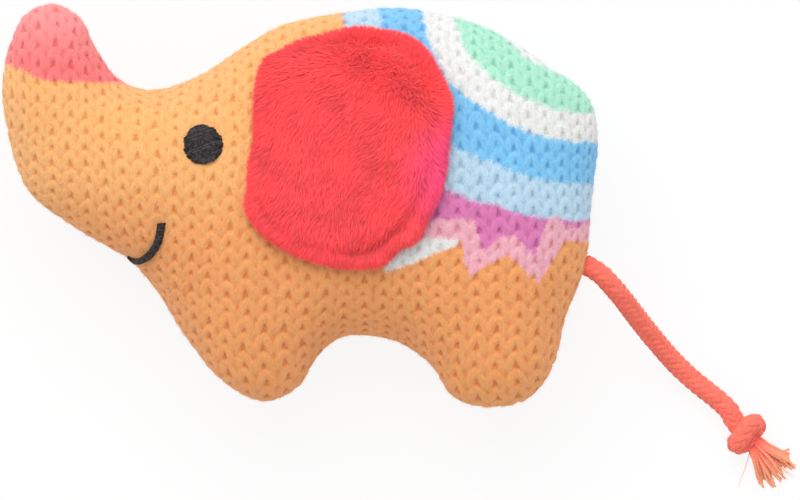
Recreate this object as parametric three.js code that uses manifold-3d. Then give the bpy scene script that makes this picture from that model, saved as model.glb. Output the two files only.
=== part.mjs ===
// Knitted elephant cat toy, lying on its right side: a stuffed knit cover with a swollen torso, head,
// trunk and two legs, plush ears sewn on along their front edge, embroidered eyes and smiles, and a
// cord tail with a knot and a frayed end. +X points to the tail, +Y to the back, +Z up.

import * as THREE from 'three';
import { mergeVertices } from 'three/addons/utils/BufferGeometryUtils.js';
import Module from 'manifold-3d';

const wasm = await Module();
wasm.setup();

// Driving dimensions in millimetres
const BODY_LENGTH = 119.4;
const BODY_HEIGHT = 81;
const TORSO_SWELL = 18;
const TORSO_PRESSED = 15.5;
const PRESS_SOFTNESS = 0.7;
const COVER_WALL = 1.6;
const CLEARANCE = 0.3;
const NORMAL_STEP = 0.2;

const EAR_LENGTH = 42;
const EAR_HEIGHT = 48.4;
const EAR_LINING = 1.1;
const EAR_LINING_INSET = 0.8;
const EAR_PLUSH = 3.4;
const EAR_PINCH = 3;
const LEFT_EAR_DROOP = 6;
const RIGHT_EAR_DROOP = 0.7;
const EAR_FOLD_SOFTNESS = 0.6;
const REST_CUT = 0.5;

const EYE_DIAMETER = 7.9;
const EYE_RISE = 0.9;
const SMILE_WIDTH = 1.6;
const SMILE_RISE = 0.8;

const TAIL_DIAMETER = 4.2;
const TAIL_ANCHOR_LENGTH = 7;
const KNOT_LENGTH = 6.6;
const KNOT_WIDTH = 9.2;
const KNOT_HEIGHT = 6.6;
const KNOT_LOBE_TILT = 0.35;
const KNOT_LOBE_SHARE = 0.72;
const TASSEL_LENGTH = 10.4;
const TASSEL_ROOT_WIDTH = 3.6;
const TASSEL_END_WIDTH = 8;
const TASSEL_HEIGHT = 3.8;

// The tail cord's route, root to knot: level out of the seam, down, then along the surface
const TAIL_ROUTE = [
  [58.1, -12.0, 20.1],
  [60.0, -13.6, 19.9],
  [62.0, -15.6, 19.1],
  [64.0, -17.9, 17.0],
  [66.0, -20.4, 14.0],
  [68.0, -23.0, 10.9],
  [70.0, -25.5, 8.1],
  [72.0, -27.9, 5.8],
  [74.0, -30.2, 4.1],
  [76.0, -32.3, 3.0],
  [78.0, -34.2, 2.45],
  [80.0, -35.9, 2.25],
  [82.0, -37.5, 2.2],
  [84.0, -39.1, 2.2],
  [86.2, -41.3, 2.2],
];

// Side outline, clockwise from the top of the trunk, as shares of the body's length and height
const bodyOutlineShares = [
  [-0.415, 0.5], [-0.368, 0.466], [-0.341, 0.39], [-0.304, 0.315],
  [-0.25, 0.288], [-0.173, 0.32], [-0.1, 0.389], [-0.033, 0.446],
  [0.059, 0.475], [0.16, 0.49], [0.244, 0.473], [0.327, 0.431],
  [0.411, 0.354], [0.483, 0.27], [0.5, 0.186], [0.49, 0.014],
  [0.48, -0.14], [0.446, -0.278], [0.423, -0.406], [0.378, -0.483],
  [0.309, -0.5], [0.255, -0.473], [0.22, -0.399], [0.165, -0.34],
  [0.076, -0.325], [0.031, -0.372], [-0.003, -0.451], [-0.061, -0.485],
  [-0.13, -0.436], [-0.193, -0.325], [-0.242, -0.209], [-0.292, -0.132],
  [-0.376, -0.058], [-0.455, 0.033], [-0.485, 0.144], [-0.5, 0.28],
  [-0.488, 0.394], [-0.461, 0.473],
];
const fullestShare = [0.12, 0.06];

// Each line splits the cover between two regions; the region named first lies to its left
const coverLineShares = {
  tipFromTrunk: [[-0.5, 0.347], [-0.302, 0.307]],
  trunkFromHead: [[-0.376, -0.058], [-0.25, 0.288]],
  headFromTorso: [[-0.142, -0.209], [-0.056, 0.507]],
  bodyFromFrontLeg: [[-0.275, -0.14], [0.076, -0.332]],
  frontFromHindLeg: [[0.12, -0.5], [0.12, -0.3]],
  torsoFromHindLeg: [[0.155, -0.342], [0.483, -0.209]],
};

// Ear outline about the ear's centre, clockwise from the top of the straight front edge
const earOutlineShares = [
  [-0.4, 0.385], [-0.33, 0.41], [-0.22, 0.452], [-0.075, 0.483], [0.045, 0.5], [0.155, 0.49],
  [0.295, 0.458], [0.387, 0.384], [0.465, 0.26], [0.5, 0.18], [0.493, 0.103], [0.483, -0.025],
  [0.464, -0.168], [0.416, -0.26], [0.345, -0.388], [0.274, -0.421], [0.164, -0.488],
  [0.017, -0.5], [-0.074, -0.492], [-0.256, -0.45], [-0.413, -0.364], [-0.5, -0.254],
  [-0.486, -0.182], [-0.484, -0.087], [-0.46, 0.008], [-0.45, 0.165], [-0.44, 0.252],
];
const earCentreShare = [0.081, 0.144];
const sewnLineShares = [[-0.076, 0.3], [-0.1, -0.006]];
const EAR_EDGE_POWER = 5;
const EYE_EDGE_POWER = 2;

const eyeCentreShare = [-0.161, 0.149];
const smilePathShares = [
  [-0.231, -0.043], [-0.233, -0.068], [-0.238, -0.093], [-0.247, -0.111], [-0.257, -0.127],
  [-0.27, -0.137], [-0.281, -0.135],
];

// Mesh densities
const OUTLINE_SAMPLES = 240;
const COVER_COLUMNS = 44;
const COVER_RING_STEPS = 36;
const CORE_COLUMNS = 32;
const CORE_RING_STEPS = 24;
const EAR_RING_COUNT = 6;
const EAR_SPOKES = 32;
const EYE_RING_COUNT = 4;
const EYE_SPOKES = 20;
const SMILE_STEPS = 10;
const SMILE_RING_STEPS = 8;
const KNOT_SPOKES = 12;
const CORD_SIDES = 10;
const CORD_STEPS = 8;

const SEAM_HEIGHT = TORSO_PRESSED + EAR_LINING + EAR_PLUSH + 2 * CLEARANCE - REST_CUT;
const LEFT = 1;
const RIGHT = -1;

const finish = (color, roughness) => new THREE.MeshStandardMaterial({ color, roughness, metalness: 0 });
const orangeKnit = finish('#f7b468', 0.9);
const coralKnit = finish('#f9737a', 0.9);
const whiteFill = finish('#f2f0ea', 1);
const redPlush = finish('#f8454c', 0.85);
const redLining = finish('#d8363e', 0.9);
const blackThread = finish('#2e2b33', 0.6);
const coralCord = finish('#f86c60', 0.85);

const toy = new THREE.Group();

// Solids

function cleanGeometry(positions, triangles) {
  const geometry = new THREE.BufferGeometry();
  geometry.setAttribute('position', new THREE.Float32BufferAttribute(positions.flat(), 3));
  geometry.setIndex(triangles.flat());
  const merged = mergeVertices(geometry);
  const index = Array.from(merged.index.array);
  const kept = [];
  for (let i = 0; i < index.length; i += 3) {
    const [a, b, c] = index.slice(i, i + 3);
    if (a !== b && b !== c && c !== a) kept.push(a, b, c);
  }
  merged.setIndex(kept);
  return merged;
}

function solidOf(geometry) {
  const bare = geometry.clone();
  bare.deleteAttribute('normal');
  bare.deleteAttribute('uv');
  const merged = mergeVertices(bare);
  return new wasm.Manifold(new wasm.Mesh({
    numProp: 3,
    vertProperties: new Float32Array(merged.attributes.position.array),
    triVerts: new Uint32Array(merged.index.array),
  }));
}

function geometryOf(solid) {
  const mesh = solid.getMesh();
  const geometry = new THREE.BufferGeometry();
  geometry.setAttribute('position', new THREE.BufferAttribute(new Float32Array(mesh.vertProperties), 3));
  geometry.setIndex(Array.from(mesh.triVerts));
  return geometry;
}

function addPiece(name, geometry, material) {
  const mesh = new THREE.Mesh(geometry, material);
  mesh.name = name;
  toy.add(mesh);
}

// The swell of the stuffed cover

const place = ([lengthShare, heightShare]) => [lengthShare * BODY_LENGTH, heightShare * BODY_HEIGHT];

function closedCurve(points) {
  const corners = points.map(([x, y]) => new THREE.Vector3(x, y, 0));
  return new THREE.CatmullRomCurve3(corners, true, 'centripetal');
}

const outline = closedCurve(bodyOutlineShares.map(place)).getSpacedPoints(OUTLINE_SAMPLES).slice(0, -1);
const indexOfEnd = (compare) => outline.reduce((best, p, i) => (compare(p.x, outline[best].x) ? i : best), 0);
const leftEnd = indexOfEnd((x, best) => x < best);
const rightEnd = indexOfEnd((x, best) => x > best);
const leftEndX = outline[leftEnd].x;
const rightEndX = outline[rightEnd].x;

function chain(from, to) {
  const points = [outline[from]];
  for (let i = from; i !== to; i = (i + 1) % outline.length) points.push(outline[(i + 1) % outline.length]);
  return points;
}

const backEdge = chain(leftEnd, rightEnd);
const bellyEdge = chain(rightEnd, leftEnd).reverse();

function edgeHeight(edge, x) {
  const next = edge.findIndex((p, i) => i > 0 && p.x >= x);
  const [a, b] = next < 1 ? edge.slice(-2) : [edge[next - 1], edge[next]];
  return THREE.MathUtils.mapLinear(x, a.x, b.x, a.y, b.y);
}

// A smooth distance to the outline: 2 over the sum of the mean value weights of its points
function reachToEdge(x, y) {
  let weightSum = 0;
  for (let i = 0; i < outline.length; i++) {
    const a = outline[i];
    const b = outline[(i + 1) % outline.length];
    const [ax, ay, bx, by] = [a.x - x, a.y - y, b.x - x, b.y - y];
    const [ra, rb] = [Math.hypot(ax, ay), Math.hypot(bx, by)];
    const halfAngleTangent = (ax * by - ay * bx) / (ra * rb + ax * bx + ay * by);
    weightSum -= halfAngleTangent * (1 / ra + 1 / rb);
  }
  return Math.max(2 / weightSum, 0);
}

const fullestReach = reachToEdge(...place(fullestShare));

function swell(x, y) {
  return TORSO_SWELL * Math.sqrt(reachToEdge(x, y) / fullestReach);
}

// The underside is pressed flat by the toy's own weight, where it would swell further
function pressed(rise) {
  return rise - PRESS_SOFTNESS * Math.log1p(Math.exp((rise - TORSO_PRESSED) / PRESS_SOFTNESS));
}

const riseOn = (side, x, y) => side * (side === LEFT ? swell(x, y) : pressed(swell(x, y)));

// A loose ear bridges the cover where that falls away more than the ear droops
function earRiseOn(side, x, y) {
  const height = side * riseOn(side, x, y);
  const lowest = side === LEFT ? TORSO_SWELL - LEFT_EAR_DROOP : TORSO_PRESSED - RIGHT_EAR_DROOP;
  return side * (height + EAR_FOLD_SOFTNESS * Math.log1p(Math.exp((lowest - height) / EAR_FOLD_SOFTNESS)));
}

function pointOn(surface, side, x, y, lift) {
  const slopeX = (surface(side, x + NORMAL_STEP, y) - surface(side, x - NORMAL_STEP, y)) / (2 * NORMAL_STEP);
  const slopeY = (surface(side, x, y + NORMAL_STEP) - surface(side, x, y - NORMAL_STEP)) / (2 * NORMAL_STEP);
  const normal = new THREE.Vector3(-slopeX, -slopeY, 1).normalize().multiplyScalar(side);
  const point = new THREE.Vector3(x, y, SEAM_HEIGHT + surface(side, x, y));
  return { point: point.addScaledVector(normal, lift), normal };
}

// The cover as rings of points round its thickness, one ring for each column along the body
function pillow(columns, ring) {
  const span = (rightEndX - leftEndX) / 2;
  const middle = (rightEndX + leftEndX) / 2;
  const positions = [leftEnd, rightEnd].map((end) => [outline[end].x, outline[end].y, SEAM_HEIGHT]);
  const triangles = [];
  const at = (column, step) => 2 + (column - 1) * ring + (step % ring);
  for (let column = 1; column < columns; column++) {
    const x = middle - span * Math.cos((Math.PI * column) / columns);
    const [top, bottom] = [edgeHeight(backEdge, x), edgeHeight(bellyEdge, x)];
    for (let step = 0; step < ring; step++) {
      const angle = (2 * Math.PI * step) / ring;
      const y = (top + bottom) / 2 + ((top - bottom) / 2) * Math.cos(angle);
      const onEdge = step === 0 || 2 * step === ring;
      const rise = onEdge ? 0 : riseOn(2 * step < ring ? LEFT : RIGHT, x, y);
      positions.push([x, y, SEAM_HEIGHT + rise]);
    }
  }
  for (let step = 0; step < ring; step++) {
    triangles.push([0, at(1, step + 1), at(1, step)]);
    triangles.push([1, at(columns - 1, step), at(columns - 1, step + 1)]);
    for (let column = 1; column < columns - 1; column++) {
      const [near, far] = [at(column, step), at(column + 1, step + 1)];
      triangles.push([near, at(column, step + 1), far], [near, far, at(column + 1, step)]);
    }
  }
  return cleanGeometry(positions, triangles);
}

function shrunk(geometry, depth) {
  const inner = geometry.clone();
  inner.computeVertexNormals();
  const { position, normal } = inner.attributes;
  for (let i = 0; i < position.count; i++) {
    position.setXYZ(
      i,
      position.getX(i) - depth * normal.getX(i),
      position.getY(i) - depth * normal.getY(i),
      position.getZ(i) - depth * normal.getZ(i),
    );
  }
  return inner;
}

// Keeps what lies to the left of a plan line, half a clearance away from it
function leftOf(solid, line) {
  const [a, b] = line.map(place);
  const normal = new THREE.Vector2(a[1] - b[1], b[0] - a[0]).normalize();
  return solid.trimByPlane([normal.x, normal.y, 0], normal.x * a[0] + normal.y * a[1] + CLEARANCE / 2);
}

const rightOf = (solid, [a, b]) => leftOf(solid, [b, a]);

// Tail cord, with its anchor inside the seam

const tailPoints = TAIL_ROUTE.map((point) => new THREE.Vector3(...point));
const tailCurve = new THREE.CatmullRomCurve3(tailPoints, false, 'centripetal');
const tailRoot = tailPoints[0];
const tailWayOut = tailPoints[1].clone().sub(tailRoot).setZ(0).normalize();

function circleShape(diameter) {
  const shape = new THREE.Shape();
  for (let side = 0; side < CORD_SIDES; side++) {
    const angle = (2 * Math.PI * side) / CORD_SIDES;
    const [x, y] = [Math.cos(angle), Math.sin(angle)].map((unit) => (diameter / 2) * unit);
    if (side) shape.lineTo(x, y);
    else shape.moveTo(x, y);
  }
  return shape;
}

function cordAlong(curve, steps, diameter) {
  return new THREE.ExtrudeGeometry(circleShape(diameter), { steps, extrudePath: curve, bevelEnabled: false });
}

// A straight round bar out along the tail's way, between two distances from its root
function tailBar(from, to, diameter) {
  const ends = [from, to].map((distance) => tailRoot.clone().addScaledVector(tailWayOut, distance));
  return cordAlong(new THREE.LineCurve3(...ends), 1, diameter);
}

function tailHole(clearance) {
  const diameter = TAIL_DIAMETER + 2 * clearance;
  const ball = new THREE.SphereGeometry(diameter / 2, 2 * CORD_SIDES, CORD_SIDES);
  ball.translate(...tailRoot.toArray());
  const anchorEnd = TAIL_DIAMETER / 2 + TAIL_ANCHOR_LENGTH + 2 * clearance;
  return solidOf(ball).add(solidOf(tailBar(-anchorEnd, 0, diameter)));
}

// Cover regions and their stuffing

function addCoverAndStuffing() {
  const outside = solidOf(pillow(COVER_COLUMNS, COVER_RING_STEPS));
  const core = pillow(CORE_COLUMNS, CORE_RING_STEPS);
  const inside = solidOf(shrunk(core, COVER_WALL));
  const cover = outside.subtract(inside).subtract(tailHole(CLEARANCE));
  const lines = coverLineShares;
  const snout = leftOf(cover, lines.trunkFromHead);
  const body = rightOf(cover, lines.trunkFromHead);
  const aboveFrontLeg = leftOf(body, lines.bodyFromFrontLeg);
  const behindHead = rightOf(aboveFrontLeg, lines.headFromTorso);
  const legs = rightOf(body, lines.bodyFromFrontLeg);
  const hindHalf = rightOf(body, lines.frontFromHindLeg);
  const regions = {
    torso: [leftOf(behindHead, lines.torsoFromHindLeg), orangeKnit],
    head: [leftOf(aboveFrontLeg, lines.headFromTorso), orangeKnit],
    trunk: [rightOf(snout, lines.tipFromTrunk), orangeKnit],
    trunk_tip: [leftOf(snout, lines.tipFromTrunk), coralKnit],
    front_leg: [leftOf(legs, lines.frontFromHindLeg), orangeKnit],
    hind_leg: [rightOf(hindHalf, lines.torsoFromHindLeg), orangeKnit],
  };
  for (const [name, [solid, material]] of Object.entries(regions)) {
    addPiece(name, geometryOf(solid), material);
  }
  const fill = solidOf(shrunk(core, COVER_WALL + CLEARANCE)).subtract(tailHole(CLEARANCE));
  addPiece('stuffing', geometryOf(fill), whiteFill);
}

// Pads that lie on the cover: the ears' layers and the eyes

// The seam pinches an ear flat beside its sewn line
function pinchAt(x, y) {
  const [top, bottom] = sewnLineShares.map(place);
  const [runX, runY] = [bottom[0] - top[0], bottom[1] - top[1]];
  const distance = ((x - top[0]) * -runY + (y - top[1]) * runX) / Math.hypot(runX, runY);
  return 1 - Math.exp(-Math.max(distance, 0) / EAR_PINCH);
}

const noPinch = () => 1;

function padOn(surface, { side, centre, border, lift, thickness, edgePower, rings, pinch = noPinch }) {
  const positions = [];
  const triangles = [];
  const spokes = border.length;
  const at = (ring, spoke) => 2 + (ring - 1) * 2 * spokes + 2 * (spoke % spokes);
  const layer = (x, y, share) => {
    const rise = thickness * Math.sqrt(1 - share ** edgePower) * pinch(x, y);
    const { point, normal } = pointOn(surface, side, x, y, lift);
    return [point.clone().addScaledVector(normal, rise).toArray(), point.toArray()];
  };
  positions.push(...layer(centre[0], centre[1], 0));
  for (let ring = 1; ring <= rings; ring++) {
    const share = Math.sin((Math.PI * ring) / (2 * rings));
    for (const [borderX, borderY] of border) {
      const x = THREE.MathUtils.lerp(centre[0], borderX, share);
      const y = THREE.MathUtils.lerp(centre[1], borderY, share);
      positions.push(...layer(x, y, share));
    }
  }
  const addFace = (a, b, c, under) => {
    const faces = [a, b, c].map((corner) => corner + (under ? 1 : 0));
    triangles.push((side === LEFT) === under ? faces.reverse() : faces);
  };
  for (const under of [false, true]) {
    for (let spoke = 0; spoke < spokes; spoke++) {
      addFace(0, at(1, spoke), at(1, spoke + 1), under);
      for (let ring = 1; ring < rings; ring++) {
        addFace(at(ring, spoke), at(ring + 1, spoke), at(ring + 1, spoke + 1), under);
        addFace(at(ring, spoke), at(ring + 1, spoke + 1), at(ring, spoke + 1), under);
      }
    }
  }
  return cleanGeometry(positions, triangles);
}

function counterClockwise(curve, count) {
  return curve.getSpacedPoints(count).slice(0, -1).map((p) => [p.x, p.y]).reverse();
}

function earBorder(inset) {
  const [centreX, centreY] = place(earCentreShare);
  const corners = earOutlineShares.map(([lengthShare, heightShare]) => [
    centreX + lengthShare * (EAR_LENGTH - 2 * inset),
    centreY + heightShare * (EAR_HEIGHT - 2 * inset),
  ]);
  return counterClockwise(closedCurve(corners), EAR_SPOKES);
}

function addEar(side, name) {
  const shared = { side, centre: place(earCentreShare), edgePower: EAR_EDGE_POWER, rings: EAR_RING_COUNT };
  const lining = { ...shared, border: earBorder(EAR_LINING_INSET), lift: CLEARANCE, thickness: EAR_LINING };
  const plushLift = EAR_LINING + 2 * CLEARANCE;
  const plush = { ...shared, border: earBorder(0), lift: plushLift, thickness: EAR_PLUSH, pinch: pinchAt };
  const plushSolid = solidOf(padOn(earRiseOn, plush)).trimByPlane([0, 0, 1], 0);
  addPiece(`${name}_ear_plush`, geometryOf(plushSolid), redPlush);
  addPiece(`${name}_ear_lining`, padOn(earRiseOn, lining), redLining);
}

function addEye(side, name) {
  const [x, y] = place(eyeCentreShare);
  const border = [];
  for (let spoke = 0; spoke < EYE_SPOKES; spoke++) {
    const angle = (2 * Math.PI * spoke) / EYE_SPOKES;
    border.push([x + (EYE_DIAMETER / 2) * Math.cos(angle), y + (EYE_DIAMETER / 2) * Math.sin(angle)]);
  }
  const shape = { side, centre: [x, y], border, edgePower: EYE_EDGE_POWER, rings: EYE_RING_COUNT };
  const eye = padOn(riseOn, { ...shape, lift: CLEARANCE, thickness: EYE_RISE });
  addPiece(`${name}_eye`, eye, blackThread);
}

// The smile is a low ridge of thread along its path, flat beneath
function addSmile(side, name) {
  const path = smilePathShares.map(place).map(([x, y]) => new THREE.Vector3(x, y, 0));
  const stations = new THREE.CatmullRomCurve3(path).getSpacedPoints(SMILE_STEPS).map(({ x, y }) => (
    pointOn(riseOn, side, x, y, CLEARANCE)
  ));
  const positions = [];
  const triangles = [];
  const last = stations.length - 1;
  stations.forEach(({ point, normal }, i) => {
    const ahead = stations[Math.min(i + 1, last)].point.clone().sub(stations[Math.max(i - 1, 0)].point);
    const across = new THREE.Vector3().crossVectors(normal, ahead).normalize();
    for (let step = 0; step < SMILE_RING_STEPS; step++) {
      const angle = (Math.PI * step) / (SMILE_RING_STEPS - 1);
      const corner = point.clone().addScaledVector(across, (SMILE_WIDTH / 2) * Math.cos(angle));
      positions.push(corner.addScaledVector(normal, SMILE_RISE * Math.sin(angle)).toArray());
    }
  });
  const at = (station, step) => station * SMILE_RING_STEPS + (step % SMILE_RING_STEPS);
  for (let station = 0; station < last; station++) {
    for (let step = 0; step < SMILE_RING_STEPS; step++) {
      triangles.push([at(station, step), at(station, step + 1), at(station + 1, step + 1)]);
      triangles.push([at(station, step), at(station + 1, step + 1), at(station + 1, step)]);
    }
  }
  for (let step = 1; step < SMILE_RING_STEPS - 1; step++) {
    triangles.push([at(0, 0), at(0, step + 1), at(0, step)]);
    triangles.push([at(last, 0), at(last, step), at(last, step + 1)]);
  }
  addPiece(`${name}_smile`, cleanGeometry(positions, triangles), blackThread);
}

// Tail

function addTail() {
  const tailEnd = tailPoints[tailPoints.length - 1];
  const heading = tailCurve.getTangent(1).setZ(0).normalize();
  const turn = Math.atan2(heading.y, heading.x);
  const lobeHalfLength = (KNOT_LENGTH * KNOT_LOBE_SHARE) / 2;
  const lobeHalfWidth = KNOT_WIDTH / 2;
  const [lobeCosine, lobeSine] = [Math.cos(KNOT_LOBE_TILT), Math.sin(KNOT_LOBE_TILT)];
  const grip = Math.hypot(lobeHalfLength * lobeCosine, lobeHalfWidth * lobeSine);

  addPiece('tail_anchor', tailBar(-TAIL_DIAMETER / 2 - TAIL_ANCHOR_LENGTH - CLEARANCE,
    -TAIL_DIAMETER / 2 - CLEARANCE, TAIL_DIAMETER), coralCord);
  addPiece('tail_cord', cordAlong(tailCurve, CORD_STEPS, TAIL_DIAMETER), coralCord);

  const knotCentre = tailEnd.clone().addScaledVector(heading, grip + CLEARANCE);
  const lobes = [-KNOT_LOBE_TILT, KNOT_LOBE_TILT].map((tilt) => {
    const lobe = new THREE.SphereGeometry(1 / 2, KNOT_SPOKES, KNOT_SPOKES / 2);
    lobe.scale(2 * lobeHalfLength, KNOT_WIDTH, KNOT_HEIGHT);
    lobe.rotateZ(turn + tilt);
    lobe.translate(knotCentre.x, knotCentre.y, KNOT_HEIGHT / 2);
    return solidOf(lobe);
  });
  addPiece('tail_knot', geometryOf(lobes[0].add(lobes[1])), coralCord);

  const profile = [
    [0, 0],
    [TASSEL_ROOT_WIDTH / 2, 0],
    [(TASSEL_ROOT_WIDTH + TASSEL_END_WIDTH) / 4, TASSEL_LENGTH / 2],
    [TASSEL_END_WIDTH / 2, TASSEL_LENGTH],
    [0, TASSEL_LENGTH],
  ].map(([x, y]) => new THREE.Vector2(x, y));
  const tassel = new THREE.LatheGeometry(profile, CORD_SIDES);
  tassel.rotateZ(-Math.PI / 2);
  tassel.scale(1, 1, TASSEL_HEIGHT / TASSEL_END_WIDTH);
  tassel.rotateZ(turn);
  const tasselRoot = tailEnd.clone().addScaledVector(heading, 2 * (grip + CLEARANCE));
  tassel.translate(tasselRoot.x, tasselRoot.y, TASSEL_HEIGHT / 2);
  addPiece('tail_tassel', tassel, coralCord);
}

addCoverAndStuffing();
for (const [side, name] of [[LEFT, 'left'], [RIGHT, 'right']]) {
  addEar(side, name);
  addEye(side, name);
  addSmile(side, name);
}
addTail();

export default toy;
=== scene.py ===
"""Looks of the knitted elephant cat toy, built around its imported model.

The toy lies on its right side: a printed jersey cover in two halves, fibre fill, two plush ears,
embroidered eyes and smiles, and a braided cord tail with a knot and a frayed end.
Shapes are worked out in millimetres and written to the meshes in metres.
"""

import math

import bmesh
import bpy
import numpy as np
from bpy.props import FloatProperty, FloatVectorProperty, IntProperty, PointerProperty
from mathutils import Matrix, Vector


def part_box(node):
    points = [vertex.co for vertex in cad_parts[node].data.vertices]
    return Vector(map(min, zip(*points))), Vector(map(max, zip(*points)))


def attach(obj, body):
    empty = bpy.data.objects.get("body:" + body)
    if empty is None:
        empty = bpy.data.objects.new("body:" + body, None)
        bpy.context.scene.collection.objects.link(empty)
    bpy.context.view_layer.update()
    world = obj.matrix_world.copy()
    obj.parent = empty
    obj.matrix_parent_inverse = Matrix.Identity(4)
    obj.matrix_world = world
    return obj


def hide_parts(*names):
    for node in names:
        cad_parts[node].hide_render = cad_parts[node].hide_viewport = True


bl_info = {
    "name": "Knitted Elephant Cat Toy",
    "version": (1, 0, 0),
    "blender": (4, 5, 0),
    "location": "3D View > Sidebar > Elephant Toy",
    "description": "Builds the cover, ears, face and tail of a knitted elephant cat toy",
    "category": "Object",
}

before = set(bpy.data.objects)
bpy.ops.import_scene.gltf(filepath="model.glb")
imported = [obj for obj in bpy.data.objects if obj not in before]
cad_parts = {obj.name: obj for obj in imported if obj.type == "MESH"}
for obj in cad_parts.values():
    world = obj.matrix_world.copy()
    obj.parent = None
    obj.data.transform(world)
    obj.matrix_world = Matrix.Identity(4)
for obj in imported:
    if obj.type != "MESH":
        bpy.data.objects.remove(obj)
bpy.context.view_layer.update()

MM = 0.001
LEFT = 1
RIGHT = -1
SIDES = {"left": LEFT, "right": RIGHT}
COVER_NODES = ("torso", "head", "trunk", "trunk_tip", "front_leg", "hind_leg")

# How many points a smooth curve gets for each of its corners, and the lowest height of a fibre
PER_SPAN = 24
FIBRE_FLOOR = 0.0001

# What the first operators make for the later ones: materials, node trees and the cover's swell
MADE = {}

# The side outline and the places on it, as shares of the body's length and height
BODY_OUTLINE_SHARES = [
    (-0.415, 0.5), (-0.368, 0.466), (-0.341, 0.39), (-0.304, 0.315),
    (-0.25, 0.288), (-0.173, 0.32), (-0.1, 0.389), (-0.033, 0.446),
    (0.059, 0.475), (0.16, 0.49), (0.244, 0.473), (0.327, 0.431),
    (0.411, 0.354), (0.483, 0.27), (0.5, 0.186), (0.49, 0.014),
    (0.48, -0.14), (0.446, -0.278), (0.423, -0.406), (0.378, -0.483),
    (0.309, -0.5), (0.255, -0.473), (0.22, -0.399), (0.165, -0.34),
    (0.076, -0.325), (0.031, -0.372), (-0.003, -0.451), (-0.061, -0.485),
    (-0.13, -0.436), (-0.193, -0.325), (-0.242, -0.209), (-0.292, -0.132),
    (-0.376, -0.058), (-0.455, 0.033), (-0.485, 0.144), (-0.5, 0.28),
    (-0.488, 0.394), (-0.461, 0.473),
]
FULLEST_SHARE = (0.12, 0.06)
EYE_CENTRE_SHARE = (-0.161, 0.149)
SMILE_PATH_SHARES = [
    (-0.2308, -0.0465), (-0.233, -0.068), (-0.237, -0.09), (-0.2452, -0.112), (-0.2545, -0.1265),
    (-0.2645, -0.1355), (-0.2735, -0.137), (-0.2815, -0.1325), (-0.288, -0.1262),
]
EAR_CENTRE_SHARE = (0.081, 0.144)
SEWN_LINE_SHARES = [(-0.076, 0.3), (-0.1, -0.006)]
STITCH_GAP_SHARE = (0.3568, 0.2358)

# The ear outline and the pile's parting about the ear's centre, as shares of the ear's length and
# height
EAR_OUTLINE_SHARES = [
    (-0.4, 0.385), (-0.33, 0.41), (-0.22, 0.452), (-0.075, 0.483), (0.045, 0.5),
    (0.155, 0.49), (0.295, 0.458), (0.387, 0.384), (0.465, 0.26), (0.5, 0.18),
    (0.493, 0.103), (0.483, -0.025), (0.464, -0.168), (0.416, -0.26), (0.345, -0.388),
    (0.274, -0.421), (0.164, -0.488), (0.017, -0.5), (-0.074, -0.492), (-0.256, -0.45),
    (-0.413, -0.364), (-0.5, -0.254), (-0.486, -0.182), (-0.484, -0.087), (-0.46, 0.008),
    (-0.45, 0.165), (-0.44, 0.252),
]
PILE_PARTING_SHARES = [(0.06, 0.4), (0.35, 0.25)]

# Half of one stitch's arch of yarn, head to foot: its place in wales and courses from the gap
# under the arch, and its height
STITCH_PATH = [
    (0.0, 0.50, 0.88), (0.16, 0.42, 0.98), (0.30, 0.10, 1.0), (0.37, -0.25, 0.86),
    (0.44, -0.62, 0.5),
]

# The tail cord's route in metres, root to knot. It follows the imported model's, but it starts
# 0.4 mm nearer the feet and runs about 2 mm further, into the knot
TAIL_ROUTE = [
    (0.0581, -0.0124, 0.0201), (0.0600, -0.0136, 0.0199), (0.0620, -0.0156, 0.0191),
    (0.0640, -0.0179, 0.0170), (0.0660, -0.0204, 0.0140), (0.0680, -0.0230, 0.0109),
    (0.0700, -0.0255, 0.0081), (0.0720, -0.0279, 0.0058), (0.0740, -0.0302, 0.0041),
    (0.0760, -0.0323, 0.0030), (0.0780, -0.0342, 0.00245), (0.0800, -0.0359, 0.00225),
    (0.0820, -0.0375, 0.0022), (0.0840, -0.0391, 0.0022), (0.0862, -0.0413, 0.0022),
    (0.0872, -0.0433, 0.0022),
]
KNOT_HEADING = (0.69, -0.724, 0.0)
FRAY_HEADING = (0.588, -0.809, 0.0)

# The knot's path about its middle, in millimetres: along the tail, to its left, and up
KNOT_PATH = [
    (-2.6, 0.0, -1.1), (-1.4, 0.3, -1.2), (0.0, 1.3, -1.2), (0.6, 2.4, -0.5),
    (-0.3, 2.6, 0.7), (-0.5, 1.0, 1.3), (-0.1, -1.0, 1.3), (0.1, -2.6, 0.7),
    (0.7, -2.6, -0.6), (1.3, -1.3, -1.2), (1.8, -0.4, -1.1), (2.4, 0.0, -1.0),
]

# The printed stripes, in metres on the side view: they lie round one centre, each from its radius
# outwards, and the print is white inside them all
STRIPE_CENTRE = (0.062, 0.0501)
STRIPES = [
    (0.0268, "mint"), (0.0336, "white"), (0.0394, "blue"), (0.0476, "pale_blue"),
    (0.055, "magenta"),
]
STRIPED_REACH = 0.08
EDGE_BLEND = 0.0004

# Past the rump's start the stripes rise by a slope. Before the ear's side they drop by another,
# but by no more than MOST_DROP, which fades away between two heights
RUMP_START = 0.0425
RUMP_RISE = 0.11
EAR_SIDE = 0.0395
EAR_DROP = 0.27
MOST_DROP = 0.0028
DROP_FADE = (0.029, 0.038)

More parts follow.
